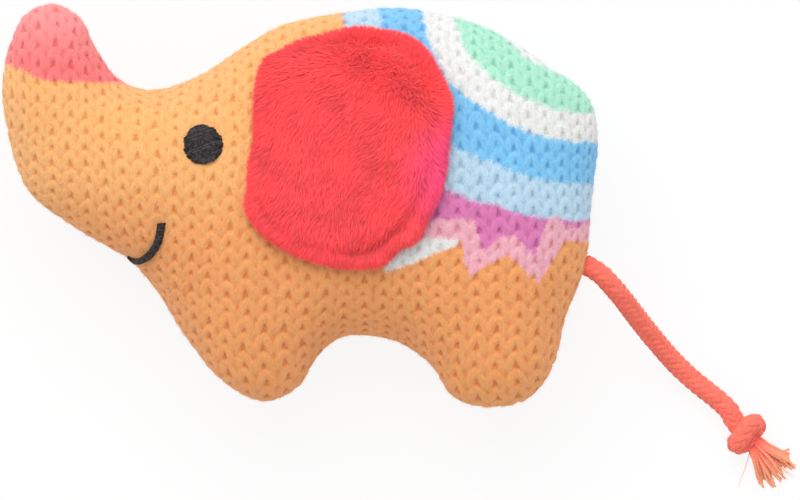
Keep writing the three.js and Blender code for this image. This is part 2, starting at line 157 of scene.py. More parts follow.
# The zigzags lie behind SADDLE_FRONT and under SADDLE_LOW. These edges run from corner to corner
SADDLE_FRONT = 0.017
SADDLE_LOW = 0.0075
MAGENTA_EDGE = [
    (0.012, -0.0025), (0.0348, -0.0029), (0.0368, -0.0092), (0.0400, -0.0062), (0.0430, -0.0058),
    (0.0469, -0.0100), (0.0496, -0.0026), (0.0512, -0.0024), (0.0530, -0.0038), (0.0555, -0.0046),
    (0.0575, -0.0030), (0.0600, -0.0030),
]
PINK_EDGE = [
    (0.012, -0.0065), (0.0318, -0.0067), (0.0339, -0.0143), (0.0366, -0.0123), (0.0414, -0.0099),
    (0.0478, -0.0154), (0.0530, -0.0070), (0.0560, -0.0072), (0.0600, -0.0074),
]
WHITE_EDGE = [
    (0.012, -0.0148), (0.0176, -0.0132), (0.0222, -0.0117), (0.0268, -0.0098), (0.0316, -0.0079),
]

# The trunk's tip; the heights over which the ground turns to painted shade, and the tip's tones blend
TIP_EDGE = [
    (-0.0600, 0.0290), (-0.0583, 0.0283), (-0.0518, 0.0253), (-0.0452, 0.0245), (-0.0362, 0.0244),
]
TIP_BACK = -0.030
LOW_SHADE_BLEND = (0.010, -0.010)
TIP_BLEND = (0.026, 0.038)

# Where the ears' plush is pinkest, and how far from there it is still all pink and then all red
PINK_SPOT = (0.032, 0.006, 0.036)
PINK_REACH = (0.005, 0.016)


def linear(code):
    """The linear colour of a #rrggbb code."""
    parts = [int(code[i : i + 2], 16) / 255 for i in (1, 3, 5)]
    return tuple(c / 12.92 if c <= 0.04045 else ((c + 0.055) / 1.055) ** 2.4 for c in parts)


def number(default, name, description, **kinds):
    return FloatProperty(name=name, description=description, default=default, **kinds)


def length(default, name, description):
    return number(default, name, description, unit="LENGTH", precision=5)


def share(default, name, description):
    return number(default, name, description, min=0, max=1, subtype="FACTOR")


def count(default, name, description):
    return IntProperty(name=name, description=description, default=default, min=1)


def colour(code, name, description):
    return FloatVectorProperty(
        name=name, description=description, default=linear(code), size=3, min=0, max=1,
        subtype="COLOR",
    )


class CoverSettings(bpy.types.PropertyGroup):
    """Sizes of the stuffed knit cover"""

    body_length: length(0.1194, "Body Length", "From the trunk to the tail end")
    body_height: length(0.081, "Body Height", "From the feet to the back")
    swell: length(0.018, "Swell", "How far the left half stands out over the edge seam")
    pressed: length(0.0155, "Pressed Swell", "How far the right half stands out where it rests")
    press_softness: length(0.0007, "Press Softness", "How gently the pressed side turns flat")
    cell: length(0.0014, "Mesh Cell", "Edge length of the cover's mesh before it is refined twice")
    wale_width: length(0.0039, "Wale Width", "Width of one column of stitches")
    course_height: length(0.0032, "Course Height", "Height of one row of stitches")
    yarn_width: length(0.00195, "Yarn Width", "Width of the yarn in a stitch")
    stitch_depth: length(0.00058, "Stitch Depth", "Depth of the gaps between the stitches")
    seam_depth: length(0.0010, "Seam Depth", "Depth of the groove along the edge seam")
    seam_width: length(0.0011, "Seam Width", "Half width of the groove along the edge seam")
    wall: length(0.0013, "Wall", "Thickness of the knit")
    fuzz_per_mm2: number(4.8, "Fuzz Density", "Loose fibres on a square millimetre")
    fuzz_length: length(0.0011, "Fuzz Length", "Length of the knit's loose fibres")
    fuzz_width: length(0.00008, "Fuzz Width", "Width of the knit's loose fibres")


class EarSettings(bpy.types.PropertyGroup):
    """Sizes of the ears"""

    ear_length: length(0.042, "Ear Length", "Along the body")
    ear_height: length(0.0484, "Ear Height", "Across the body")
    lining: length(0.0011, "Lining", "Thickness of the lining against the cover")
    lining_inset: length(0.0008, "Lining Inset", "How far the lining stays inside the plush")
    clearance: length(0.0003, "Clearance", "Gap between the ear's layers")
    plush: length(0.0034, "Plush", "Thickness of the plush with its pile")
    backing_share: share(0.66, "Backing Share", "Share of the plush's thickness that is backing")
    backing_inset: length(0.0012, "Backing Inset", "How far the backing stays inside the pile")
    pinch: length(0.003, "Pinch", "Width over which the sewn line pinches the plush")
    left_droop: length(0.006, "Left Droop", "How far the upper ear may follow the cover down")
    right_droop: length(0.0007, "Right Droop", "How far the lower ear may follow the cover up")
    fold_softness: length(0.0006, "Fold Softness", "How gently an ear leaves the cover")
    groove_inset: length(0.0032, "Groove Inset", "Distance of the topstitched groove from the edge")
    groove_width: length(0.0010, "Groove Width", "Half width of the topstitched groove")
    groove_depth: length(0.0014, "Groove Depth", "Depth of the topstitched groove")
    pile_per_mm2: number(28, "Pile Density", "Pile fibres on a square millimetre")
    pile_length: length(0.0025, "Pile Length", "Length of the pile")
    pile_width: length(0.0002, "Pile Width", "Width of one tuft of pile at its root")


class FaceSettings(bpy.types.PropertyGroup):
    """Sizes of the embroidered face"""

    eye_diameter: length(0.0079, "Eye Diameter", "Diameter of the embroidered disc")
    eye_rise: length(0.0008, "Eye Rise", "Height of the embroidery over the knit")
    smile_width: length(0.0016, "Smile Width", "Width of the embroidered line")
    smile_rise: length(0.0007, "Smile Rise", "Height of the embroidered line over the knit")
    thread_width: length(0.00036, "Thread Width", "Width of one embroidery thread")
    eye_slant: number(0.35, "Eye Slant", "Slant of the threads across the eye", subtype="ANGLE")


class TailSettings(bpy.types.PropertyGroup):
    """Sizes of the cord tail"""

    cord_diameter: length(0.0042, "Cord Diameter", "Diameter of the braided cord")
    anchor_length: length(0.007, "Anchor Length", "Length of the cord end caught in the seam")
    tucked: length(0.0015, "Tucked In", "How far the cord reaches into the seam and the knot")
    plait_pitch: length(0.0128, "Plait Pitch", "Length of one turn of a strand")
    yarns_each_way: count(8, "Yarns Each Way", "Yarns that turn each way round the cord")
    braid_yarn_width: length(0.00136, "Braid Yarn Width", "Width of one yarn of the braid")
    knot_length: length(0.0066, "Knot Length", "Along the tail")
    knot_height: length(0.0066, "Knot Height", "Over the surface that the tail lies on")
    tassel_length: length(0.0104, "Tassel Length", "Length of the frayed end")
    tassel_width: length(0.008, "Tassel Width", "Width of the frayed end")
    yarn_count: count(90, "Frayed Yarns", "Yarns in the frayed end")
    yarn_width: length(0.00068, "Frayed Yarn Width", "Width of one frayed yarn")


class ColourSettings(bpy.types.PropertyGroup):
    """Colours of the toy"""

    orange: colour("#FFC07C", "Orange", "Ground of the print")
    # Painted shade: the orange darker and redder towards the feet
    shaded_orange: colour("#F9AD6D", "Low Orange", "Ground of the print towards the feet")
    coral: colour("#FE8384", "Coral", "Tip of the trunk")
    high_coral: colour("#FF9A99", "High Coral", "Very end of the trunk")
    white: colour("#F1F2F0", "White", "White stripes")
    mint: colour("#B3EDD5", "Mint", "Mint stripe")
    blue: colour("#86CDF7", "Blue", "Blue stripe")
    pale_blue: colour("#C4E1F4", "Pale Blue", "Pale blue stripe")
    magenta: colour("#E585BE", "Magenta", "Upper zigzag")
    pink: colour("#F8B8C6", "Pink", "Lower zigzag")
    ear_red: colour("#FF575C", "Ear Red", "Plush of the ears")
    ear_pink: colour("#FF568A", "Ear Pink", "Plush of the ears towards the tail")
    lining_red: colour("#D8363E", "Lining Red", "Back of the ears")
    thread_black: colour("#2B2628", "Thread Black", "Embroidery")
    cord: colour("#FF7968", "Cord Coral", "Braided tail")
    fray: colour("#FFB288", "Fray Orange", "Tips of the frayed end")
    fill: colour("#F2F0EA", "Fill White", "Fibre fill")


class StageSettings(bpy.types.PropertyGroup):
    """Camera and light"""

    view_width: length(0.160, "View Width", "Width that the picture shows at the seam's height")
    view_x: length(0.020, "View Middle Along", "Middle of the picture along the body")
    view_y: length(-0.0089, "View Middle Across", "Middle of the picture across the body")
    lens: number(800, "Lens", "Focal length in millimetres")
    sky: number(0.65, "Sky Light", "Level of the even light")
    key: number(1.85, "Key Light", "Level of the soft light from the back's side")


class ToySettings(bpy.types.PropertyGroup):
    """All settings of the toy"""

    cover: PointerProperty(type=CoverSettings)
    ears: PointerProperty(type=EarSettings)
    face: PointerProperty(type=FaceSettings)
    tail: PointerProperty(type=TailSettings)
    colours: PointerProperty(type=ColourSettings)
    stage: PointerProperty(type=StageSettings)


def settings():
    return bpy.context.scene.elephant_toy


# Curves and points


def smooth_curve(points, closed=False, per_span=PER_SPAN):
    """A centripetal Catmull-Rom curve through the points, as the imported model's source draws it."""
    points = np.asarray(points, float)
    if closed:
        p0, p1, p2, p3 = (np.roll(points, shift, 0) for shift in (1, 0, -1, -2))
    else:
        longer = np.vstack([2 * points[0] - points[1], points, 2 * points[-1] - points[-2]])
        p0, p1, p2, p3 = longer[:-3], longer[1:-2], longer[2:-1], longer[3:]
    t0, t1, t2 = (
        np.sqrt(np.linalg.norm(b - a, axis=1))[:, None] for a, b in ((p0, p1), (p1, p2), (p2, p3))
    )
    m1 = ((p1 - p0) / t0 - (p2 - p0) / (t0 + t1) + (p2 - p1) / t1) * t1
    m2 = ((p2 - p1) / t1 - (p3 - p1) / (t1 + t2) + (p3 - p2) / t2) * t1
    s = (np.arange(per_span) / per_span)[None, :, None]
    a, b, m1, m2 = p1[:, None], p2[:, None], m1[:, None], m2[:, None]
    curve = a + m1 * s + (3 * (b - a) - 2 * m1 - m2) * s**2 + (2 * (a - b) + m1 + m2) * s**3
    curve = curve.reshape(-1, points.shape[1])
    return curve if closed else np.vstack([curve, points[-1]])


def steps_of(path):
    """The distances from each point of a path to the next."""
    return np.linalg.norm(np.diff(path, axis=0), axis=1)


def along_of(path):
    """How far along a path each of its points is."""
    return np.concatenate([[0], np.cumsum(steps_of(path))])


def evenly(curve, number, closed=False):
    """The curve's points again, at even distances along it."""
    line = np.vstack([curve, curve[:1]]) if closed else curve
    along = along_of(line)
    stops = np.linspace(0, along[-1], number, endpoint=not closed)
    return np.stack([np.interp(stops, along, line[:, i]) for i in range(line.shape[1])], 1)


def rounded_outline(corners, number):
    """A smooth closed line through the corners, as this many points at even distances."""
    return evenly(smooth_curve(corners, closed=True), number, closed=True)


def unit(arrows):
    """These directions with a length of 1."""
    return arrows / np.maximum(np.linalg.norm(arrows, axis=-1, keepdims=True), 1e-12)


def left_of(headings):
    """The directions to the left of these headings on the side view."""
    found = np.zeros_like(headings)
    found[..., 0], found[..., 1] = -headings[..., 1], headings[..., 0]
    return found


def on_body(shares):
    """Places on the side view in millimetres, from shares of the body."""
    cover = settings().cover
    return np.asarray(shares, float) * (cover.body_length / MM, cover.body_height / MM)


def seam_height():
    """The height of the edge seam in metres: the tail's cord end lies midway in it."""
    low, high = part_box("tail_anchor")
    return (low.z + high.z) / 2


def above_zero(value, softness):
    """The value where it is above 0 and else 0, with a soft turn between them."""
    return softness * np.log1p(np.exp(value / softness))


# The swell of the stuffed cover


class Swell:
    """The rise of the cover over its edge seam, from a smooth distance to the outline."""

    PITCH = 0.5
    MARGIN = 3.0
    SLOPE_STEP = 0.05
    LONGEST_STEP = 0.2

    def __init__(self):
        cover = settings().cover
        self.outline = rounded_outline(on_body(BODY_OUTLINE_SHARES), 360)
        self.full = cover.swell / MM
        self.pressed = cover.pressed / MM
        self.softness = cover.press_softness / MM
        self.seam = seam_height() / MM
        self.low = self.outline.min(0) - self.MARGIN
        steps = np.ceil((self.outline.max(0) + self.MARGIN - self.low) / self.PITCH).astype(int) + 1
        xs, ys = (self.low[i] + self.PITCH * np.arange(steps[i]) for i in (0, 1))
        grid = np.stack(np.meshgrid(xs, ys, indexing="ij"), -1)
        fullest = on_body(FULLEST_SHARE)[None]
        self.reach = self.distance(grid.reshape(-1, 2)).reshape(steps) / self.distance(fullest)[0]

    def distance(self, points):
        """2 over the sum of the outline's mean value weights: it is 0 on the outline."""
        found = []
        for part in np.array_split(points, max(len(points) // 4000, 1)):
            to = self.outline[None] - part[:, None]
            after = np.roll(to, -1, axis=1)
            away, away_after = np.linalg.norm(to, axis=2), np.linalg.norm(after, axis=2)
            cross = to[..., 0] * after[..., 1] - to[..., 1] * after[..., 0]
            with np.errstate(divide="ignore", invalid="ignore"):
                tangent = cross / (away * away_after + (to * after).sum(2))
                weight = -(tangent * (1 / away + 1 / away_after)).sum(1)
                found.append(np.nan_to_num(2 / weight))
        return np.concatenate(found)

    def squared(self, x, y):
        """The left half's rise squared, read from the grid in cubic steps: negative outside."""
        at = [(x - self.low[0]) / self.PITCH, (y - self.low[1]) / self.PITCH]
        cells = [np.clip(np.floor(a).astype(int), 1, n - 3) for a, n in zip(at, self.reach.shape)]
        weights = []
        for a, cell in zip(at, cells):
            t = np.clip(a - cell, 0, 1)
            weights.append([
                (-t + 2 * t**2 - t**3) / 2, (2 - 5 * t**2 + 3 * t**3) / 2,
                (t + 4 * t**2 - 3 * t**3) / 2, (-(t**2) + t**3) / 2,
            ])
        total = 0
        for i, across in enumerate(weights[0]):
            for j, up in enumerate(weights[1]):
                total = total + across * up * self.reach[cells[0] + i - 1, cells[1] + j - 1]
        return self.full**2 * total

    def height(self, side, x, y):
        """The rise of one half over the seam, as a positive number."""
        rise = np.sqrt(np.maximum(self.squared(x, y), 0))
        if side == LEFT:
            return rise
        return rise - above_zero(rise - self.pressed, self.softness)

    def outside(self, p):
        """Below 0 inside the cover, above 0 outside."""
        squared = self.squared(p[:, 0], p[:, 1])
        low = self.height(RIGHT, p[:, 0], p[:, 1])
        low = np.where(squared > 1, low**2 * np.sign(low), squared)
        return (p[:, 2] - self.seam) ** 2 - np.where(p[:, 2] < self.seam, low, squared)

    def slope(self, p):
        """The gradient of outside(), which points out of the cover."""
        steps = np.eye(3) * self.SLOPE_STEP
        rises = [self.outside(p + step) - self.outside(p - step) for step in steps]
        return np.stack(rises, 1) / (2 * self.SLOPE_STEP)

    def settle(self, p, rounds=4, in_plane=False):
        """The points moved onto the cover's surface, or in the seam's plane onto the outline."""
        p = np.array(p, float)
        for _ in range(rounds):
            slope = self.slope(p)
            if in_plane:
                slope[:, 2] = 0
            step = self.outside(p) / np.maximum((slope**2).sum(1), 1e-9)
            p -= np.clip(step, -self.LONGEST_STEP, self.LONGEST_STEP)[:, None] * slope
        return p


def ear_height(swell, side, x, y):
    """The rise of what an ear lies on: it bridges the cover where that falls away from it."""
    ears = settings().ears
    rise = swell.height(side, x, y)
    full, droop = (
        (swell.full, ears.left_droop) if side == LEFT else (swell.pressed, ears.right_droop)
    )
    return rise + above_zero(full - droop / MM - rise, ears.fold_softness / MM)


def lifted(swell, side, height, places, lift):
    """Points over a surface of that height, and the surface's normals there."""
    step = 0.2
    x, y = places[:, 0], places[:, 1]
    slope_x = (height(swell, side, x + step, y) - height(swell, side, x - step, y)) / (2 * step)
    slope_y = (height(swell, side, x, y + step) - height(swell, side, x, y - step)) / (2 * step)
    normals = unit(np.stack([-slope_x, -slope_y, np.ones_like(x)], 1))
    normals[:, 2] *= side
    points = np.stack([x, y, swell.seam + side * height(swell, side, x, y)], 1)
    return points + normals * np.broadcast_to(lift, x.shape)[:, None], normals


# Meshes and pieces


def new_object(name, mesh):
    made = bpy.data.objects.new(name, mesh)
    bpy.context.scene.collection.objects.link(made)
    return made


def mesh_of(name, points, faces=(), edges=()):
    mesh = bpy.data.meshes.new(name)
    mesh.from_pydata([tuple(p) for p in points], edges, faces)
    mesh.validate()
    return mesh


def read(items, name, width=1, kind=np.float32):
    """One property of all these items: a plain array, or rows of that width."""
    found = np.empty(len(items) * width, kind)
    items.foreach_get(name, found)
    return found.reshape(-1, width) if width > 1 else found


def coordinates(mesh):
    return read(mesh.vertices, "co", 3).astype(float)


def place_vertices(mesh, points):
    mesh.vertices.foreach_set("co", np.asarray(points, np.float32).ravel())
    mesh.update()


def store(mesh, name, values, kind="FLOAT"):
    """Writes a value, or a vector, for each vertex into a named attribute."""
    values = np.asarray(values, np.float32)
    attribute = mesh.attributes.new(name, kind, "POINT")
    attribute.data.foreach_set("vector" if kind == "FLOAT_VECTOR" else "value", values.ravel())


def shade_smooth(mesh):
    mesh.polygons.foreach_set("use_smooth", np.ones(len(mesh.polygons), bool))


def settled_mesh(made, name):
    """The object's mesh with its modifiers worked in, which are then taken off it."""
    bpy.context.view_layer.update()
    depsgraph = bpy.context.evaluated_depsgraph_get()
    result = bpy.data.meshes.new_from_object(made.evaluated_get(depsgraph))
    result.name = name
    made.modifiers.clear()
    return result


def drop(made):
    mesh = made.data
    bpy.data.objects.remove(made)
    bpy.data.meshes.remove(mesh)


def finish_piece(made, body, material=None, replaces=()):
    if material:
        made.data.materials.clear()
        made.data.materials.append(material)
    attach(made, body)
    if replaces:
        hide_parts(*replaces)


# Node trees


class Value:
    """An output of a node. What is reckoned with it becomes further nodes of its tree."""

    def __init__(self, socket):
        self.socket = socket
        self.tree = socket.id_data

    def __add__(self, other):
        return maths("ADD", self, other)

    def __sub__(self, other):
        return maths("SUBTRACT", self, other)

    def __rsub__(self, other):
        return maths("SUBTRACT", other, self)

    def __mul__(self, other):
        return maths("MULTIPLY", self, other)

    def __truediv__(self, other):
        return maths("DIVIDE", self, other)

    def feed(self, socket):
        self.tree.links.new(self.socket, socket)

    def ranged(self, low, high, to_low=0.0, to_high=1.0, smooth=False):
        """Maps low to high onto to_low to to_high, and holds it within those."""
        return derive("ShaderNodeMapRange", {
            "Value": self, "From Min": low, "From Max": high, "To Min": to_low, "To Max": to_high,
        }, interpolation_type="SMOOTHSTEP" if smooth else "LINEAR")


def socket_of(sockets, name):
    return next(s for s in sockets if s.name == name and s.enabled)


def out(made, name=None):
    """The node's output of that name, or the first that is in use."""
    if name:
        return Value(socket_of(made.outputs, name))
    return Value(next(s for s in made.outputs if s.enabled))


def add_node(tree, kind, inputs=None, **values):
    """A node with its settings, and its inputs given as numbers or as other nodes' outputs."""
    made = tree.nodes.new(kind)
    for name, value in values.items():
        setattr(made, name, value)
    for name, value in (inputs or {}).items():
        socket = made.inputs[name] if isinstance(name, int) else socket_of(made.inputs, name)
        if isinstance(value, Value):
            value.feed(socket)
        else:
            socket.default_value = value
    return made


def derive(kind, inputs, **values):
    """The output of a new node, which stands in the tree that its inputs come from."""
    tree = next(value.tree for value in inputs.values() if isinstance(value, Value))
    return out(add_node(tree, kind, inputs, **values))


def maths(operation, *values):
    return derive("ShaderNodeMath", dict(enumerate(values)), operation=operation)


def vectors(operation, *values):
    return derive("ShaderNodeVectorMath", dict(enumerate(values)), operation=operation)


def scaled(vector, factor):
    """A vector or a colour times a factor."""
    return derive("ShaderNodeVectorMath", {"Vector": vector, "Scale": factor}, operation="SCALE")


def mixed(factor, a, b):
    inputs = {"Factor": factor, "A": a, "B": b}
    return derive("ShaderNodeMix", inputs, data_type="RGBA", clamp_factor=True)


def split(vector):
    """The x, y and z of a vector."""
    made = add_node(vector.tree, "ShaderNodeSeparateXYZ", {0: vector})
    return [out(made, axis) for axis in "XYZ"]


def combined(x, y, z):
    return derive("ShaderNodeCombineXYZ", {"X": x, "Y": y, "Z": z})


def opaque(rgb):
    return (*rgb, 1)


def position(tree):
    return out(add_node(tree, "GeometryNodeInputPosition"))


def named(tree, name, kind="FLOAT"):
    return out(add_node(tree, "GeometryNodeInputNamedAttribute", {"Name": name}, data_type=kind))


def chance(low, high, seed, kind="FLOAT"):
    """A value by chance, of its own for each point."""
    inputs = {"Min": low, "Max": high, "Seed": seed}
    return derive("FunctionNodeRandomValue", inputs, data_type=kind)


def marked(geometry, name, value, domain):
    inputs = {"Geometry": geometry, "Name": name, "Value": value}
    return derive("GeometryNodeStoreNamedAttribute", inputs, data_type="FLOAT", domain=domain)


def moved(geometry, place):
    return derive("GeometryNodeSetPosition", {"Geometry": geometry, "Position": place})


def turned(inputs, axis, pivot):
    kind = "FunctionNodeAlignRotationToVector"
    return derive(kind, inputs, axis=axis, pivot_axis=pivot)


def new_geometry_tree(name, result, inputs):
    """A geometry tree with these named inputs, and what each of them gives."""
    tree = bpy.data.node_groups.new(name, "GeometryNodeTree")
    for title, kind in inputs.items():
        tree.interface.new_socket(title, in_out="INPUT", socket_type=f"NodeSocket{kind}")
    tree.interface.new_socket(result, in_out="OUTPUT", socket_type="NodeSocketGeometry")
    given = tree.nodes.new("NodeGroupInput")
    return tree, {title: out(given, title) for title in inputs}


def hand_out(geometry, material):
    """Ends a geometry tree with this geometry, smoothly shaded and in this material."""
    smooth = derive("GeometryNodeSetShadeSmooth", {"Geometry": geometry})
    dressed = derive("GeometryNodeSetMaterial", {"Geometry": smooth, "Material": material})
    dressed.feed(geometry.tree.nodes.new("NodeGroupOutput").inputs[0])
    return geometry.tree


def fibres_tree():
    """Loose fibres over a fabric: bent tapering blades that lean with its flow attribute."""
    sizes = ("Density", "Length", "Width", "Lift", "Stray", "Bend", "Shortest", "Floor")
    tree, given = new_geometry_tree("Fibres on Fabric", "Fibres", {
        "Fabric": "Geometry", **dict.fromkeys(sizes, "Float"),
        "Seed": "Int", "Material": "Material",
    })
    long, seed = given["Length"], given["Seed"]
    tip_taper = 0.85
    grid = add_node(tree, "GeometryNodeMeshGrid", {
        "Size X": given["Width"], "Size Y": long, "Vertices X": 2, "Vertices Y": 3,
    })
    flat_x, flat_y, _ = split(position(tree))
    along = flat_y / long + 0.5
    squared = along * along
    taper = 1.0 - squared * tip_taper
    bent = combined(flat_x * taper, squared * given["Bend"] * long, long * along)
    blade = moved(marked(out(grid, "Mesh"), "along", along, "POINT"), bent)

    spread = add_node(tree, "GeometryNodeDistributePointsOnFaces", {
        "Mesh": given["Fabric"], "Seed": seed, "Density": given["Density"] * named(tree, "cover"),
    }, distribute_method="RANDOM")
    normal = out(spread, "Normal")
    stray = chance((-1, -1, -1), (1, 1, 1), seed, "FLOAT_VECTOR")
    leaning = vectors("ADD", scaled(normal, given["Lift"]), named(tree, "flow", "FLOAT_VECTOR"))
    heading = vectors("ADD", leaning, scaled(stray, given["Stray"]))
    pointed = turned({"Vector": heading}, "Z", "AUTO")
    size = chance(given["Shortest"], 1.0, seed + 7.0) * named(tree, "length_share")
    placed = derive("GeometryNodeInstanceOnPoints", {
        "Points": out(spread, "Points"), "Instance": blade,
        "Rotation": turned({"Rotation": pointed, "Vector": normal}, "Y", "Z"), "Scale": size,
    })
    toned = marked(placed, "tone", chance(0.0, 1.0, seed + 13.0), "INSTANCE")
    real = derive("GeometryNodeRealizeInstances", {"Geometry": toned})
    x, y, z = split(position(tree))
    above = moved(real, combined(x, y, maths("MAXIMUM", z, given["Floor"])))
    return hand_out(above, given["Material"])


def threads_tree():
    """Round threads along polylines, as thick at each point as their girth attribute says."""
    tree, given = new_geometry_tree("Threads on Paths", "Threads", {
        "Paths": "Geometry", "Width": "Float", "Sides": "Int", "Material": "Material",
    })
    line = derive("GeometryNodeMeshToCurve", {"Mesh": given["Paths"]})
    profile = derive("GeometryNodeCurvePrimitiveCircle", {
        "Resolution": given["Sides"], "Radius": given["Width"] * 0.5,
    }, mode="RADIUS")
    swept = derive("GeometryNodeCurveToMesh", {
        "Curve": line, "Profile Curve": profile, "Scale": named(tree, "girth"), "Fill Caps": True,
    })
    real = derive("GeometryNodeRealizeInstances", {"Geometry": swept})
    return hand_out(real, given["Material"])


def grow(made, name, tree, values):
    """Runs a node tree on the object with these named inputs, and keeps the result as its mesh."""
    modifier = made.modifiers.new("Grow", "NODES")
    modifier.node_group = tree
    for item in tree.interface.items_tree:
        if item.item_type == "SOCKET" and item.in_out == "INPUT" and item.name in values:
            modifier[item.identifier] = values[item.name]
    result = settled_mesh(made, name)
    before = made.data
    made.data = result
    bpy.data.meshes.remove(before)
    return made


def threads(name, paths, width, sides, material, tones, girths=None):
    """Threads along these paths, in millimetres, as one object."""
    points = np.vstack(paths)
    starts = np.cumsum([0] + [len(p) for p in paths])
    edges = [(i, i + 1) for a, b in zip(starts[:-1], starts[1:]) for i in range(a, b - 1)]
    mesh = mesh_of(name, points * MM, edges=edges)
    store(mesh, "girth", np.ones(len(points)) if girths is None else np.concatenate(girths))
    store(mesh, "tone", np.repeat(tones, [len(p) for p in paths]))
    values = {"Width": width * MM, "Sides": sides, "Material": material}
    return grow(new_object(name, mesh), name, MADE["threads_tree"], values)


# Materials


def new_material(name):
    material = bpy.data.materials.new(name)
    material.use_nodes = True
    tree = material.node_tree
    return material, tree, tree.nodes["Principled BSDF"]


def object_place(tree):
    return out(add_node(tree, "ShaderNodeTexCoord"), "Object")


def attribute(tree, name):
    made = add_node(tree, "ShaderNodeAttribute", attribute_name=name, attribute_type="GEOMETRY")
    return out(made, "Fac")


def noise(place, scale, detail=2.0, roughness=0.5):
    return out(add_node(place.tree, "ShaderNodeTexNoise", {
        "Vector": place, "Scale": scale, "Detail": detail, "Roughness": roughness,
    }), "Fac")


def patchy(grain, low, high):
    """A factor from low to high that follows a noise, most of which lies from 0.3 to 0.7."""
    return grain.ranged(0.3, 0.7, low, high)


def coloured(shader, base, level):
    """Gives the shader a colour, made lighter or darker by a level."""
    scaled(base, level).feed(shader.inputs["Base Color"])


def bumped(shader, height, distance):
    derive("ShaderNodeBump", {
        "Height": height, "Distance": distance, "Strength": 1.0,
    }).feed(shader.inputs["Normal"])


def cloth_finish(shader, roughness=0.9, sheen=0.3, sheen_tint=None):
    """Makes the shader rough and hardly shiny, with a sheen at grazing views."""
    shader.inputs["Roughness"].default_value = roughness
    shader.inputs["Specular IOR Level"].default_value = 0.18
    shader.inputs["Sheen Weight"].default_value = sheen
    shader.inputs["Sheen Roughness"].default_value = 0.45
    if sheen_tint:
        shader.inputs["Sheen Tint"].default_value = opaque(sheen_tint)


def edge_over(x, points):
    """The height of a drawn edge over the place x, from its corner points in metres."""
    (left, _), (right, _) = points[0], points[-1]
    lows = [p[1] for p in points]
    bottom, top = min(lows) - 0.001, max(lows) + 0.001
    made = add_node(x.tree, "ShaderNodeFloatCurve", {"Value": x.ranged(left, right)})
    curve = made.mapping.curves[0]
    for _ in range(len(points) - 2):
        curve.points.new(0.5, 0.5)
    for spot, (px, py) in zip(curve.points, points):
        spot.location = ((px - left) / (right - left), (py - bottom) / (top - bottom))
        spot.handle_type = "VECTOR"
    made.mapping.update()
    return out(made).ranged(0.0, 1.0, bottom, top)


def past(value, edge):
    """0 before an edge of the print and 1 past it, blended over a few fibres."""
    return (value - edge).ranged(-EDGE_BLEND, EDGE_BLEND)


def striped_ramp(reach, hues):
    """The colour of the printed stripes at this reach from their centre."""
    ramp = add_node(reach.tree, "ShaderNodeValToRGB", {"Fac": reach / STRIPED_REACH})
    stops, before = [], hues.white
    for radius, name in STRIPES:
        stops += [(radius - EDGE_BLEND, before), (radius + EDGE_BLEND, getattr(hues, name))]
        before = getattr(hues, name)
    elements = ramp.color_ramp.elements
    for number, (radius, hue) in enumerate(stops):
        element = elements[number] if number < 2 else elements.new(radius / STRIPED_REACH)
        element.position = radius / STRIPED_REACH
        element.color = opaque(hue)
    return out(ramp, "Color")


def print_tree():
    """The cover's print: stripes round the rump over two zigzags and the trunk's tip, on an orange
    ground darkened towards the feet by painted shade.
    """
    found = bpy.data.node_groups.get("Printed Knit")
    if found:
        return found
    hues = settings().colours
    tree = bpy.data.node_groups.new("Printed Knit", "ShaderNodeTree")
    tree.interface.new_socket("Color", in_out="OUTPUT", socket_type="NodeSocketColor")
    place = object_place(tree)
    slow_shift, fast_shift = 0.0014, 0.0018
    slow = (noise(place, scale=600.0, detail=1.0) - 0.5) * slow_shift
    fast = (noise(place, scale=2600.0, detail=2.0) - 0.5) * fast_shift
    wobble = slow + fast
    true_x, true_y, _ = split(place)
    x, y = true_x + wobble, true_y + wobble

    raised = maths("MAXIMUM", x - RUMP_START, 0.0) * RUMP_RISE
    dropped = maths("MAXIMUM", EAR_SIDE - x, 0.0) * EAR_DROP
    dropped = maths("MINIMUM", dropped, y.ranged(*DROP_FADE, MOST_DROP, 0.0))
    flat = combined(true_x, true_y + (dropped - raised), 0.0)
    reach = vectors("DISTANCE", flat, (*STRIPE_CENTRE, 0.0)) + wobble
    striped = past(STRIPES[-1][0], reach)

    saddle = past(SADDLE_LOW, y) * past(x, SADDLE_FRONT)
    # Painted shade: the orange ground turns darker and redder towards the feet
    low = true_y.ranged(*LOW_SHADE_BLEND, smooth=True)
    shade = mixed(low, opaque(hues.orange), opaque(hues.shaded_orange))
    inside = past(y, edge_over(x, WHITE_EDGE)) * past(WHITE_EDGE[-1][0], x)
    shade = mixed(inside * saddle, shade, opaque(hues.white))
    shade = mixed(past(y, edge_over(x, PINK_EDGE)) * saddle, shade, opaque(hues.pink))
    banded = past(y, edge_over(x, MAGENTA_EDGE)) * maths("MAXIMUM", saddle, striped)
    shade = mixed(banded, shade, striped_ramp(reach, hues))
    tip = past(y, edge_over(x, TIP_EDGE)) * past(TIP_BACK, x)
    high = true_y.ranged(*TIP_BLEND, smooth=True)
    shade = mixed(tip, shade, mixed(high, opaque(hues.coral), opaque(hues.high_coral)))
    shade.feed(tree.nodes.new("NodeGroupOutput").inputs[0])
    return tree


def printed(tree):
    made = tree.nodes.new("ShaderNodeGroup")
    made.node_tree = print_tree()
    return out(made)


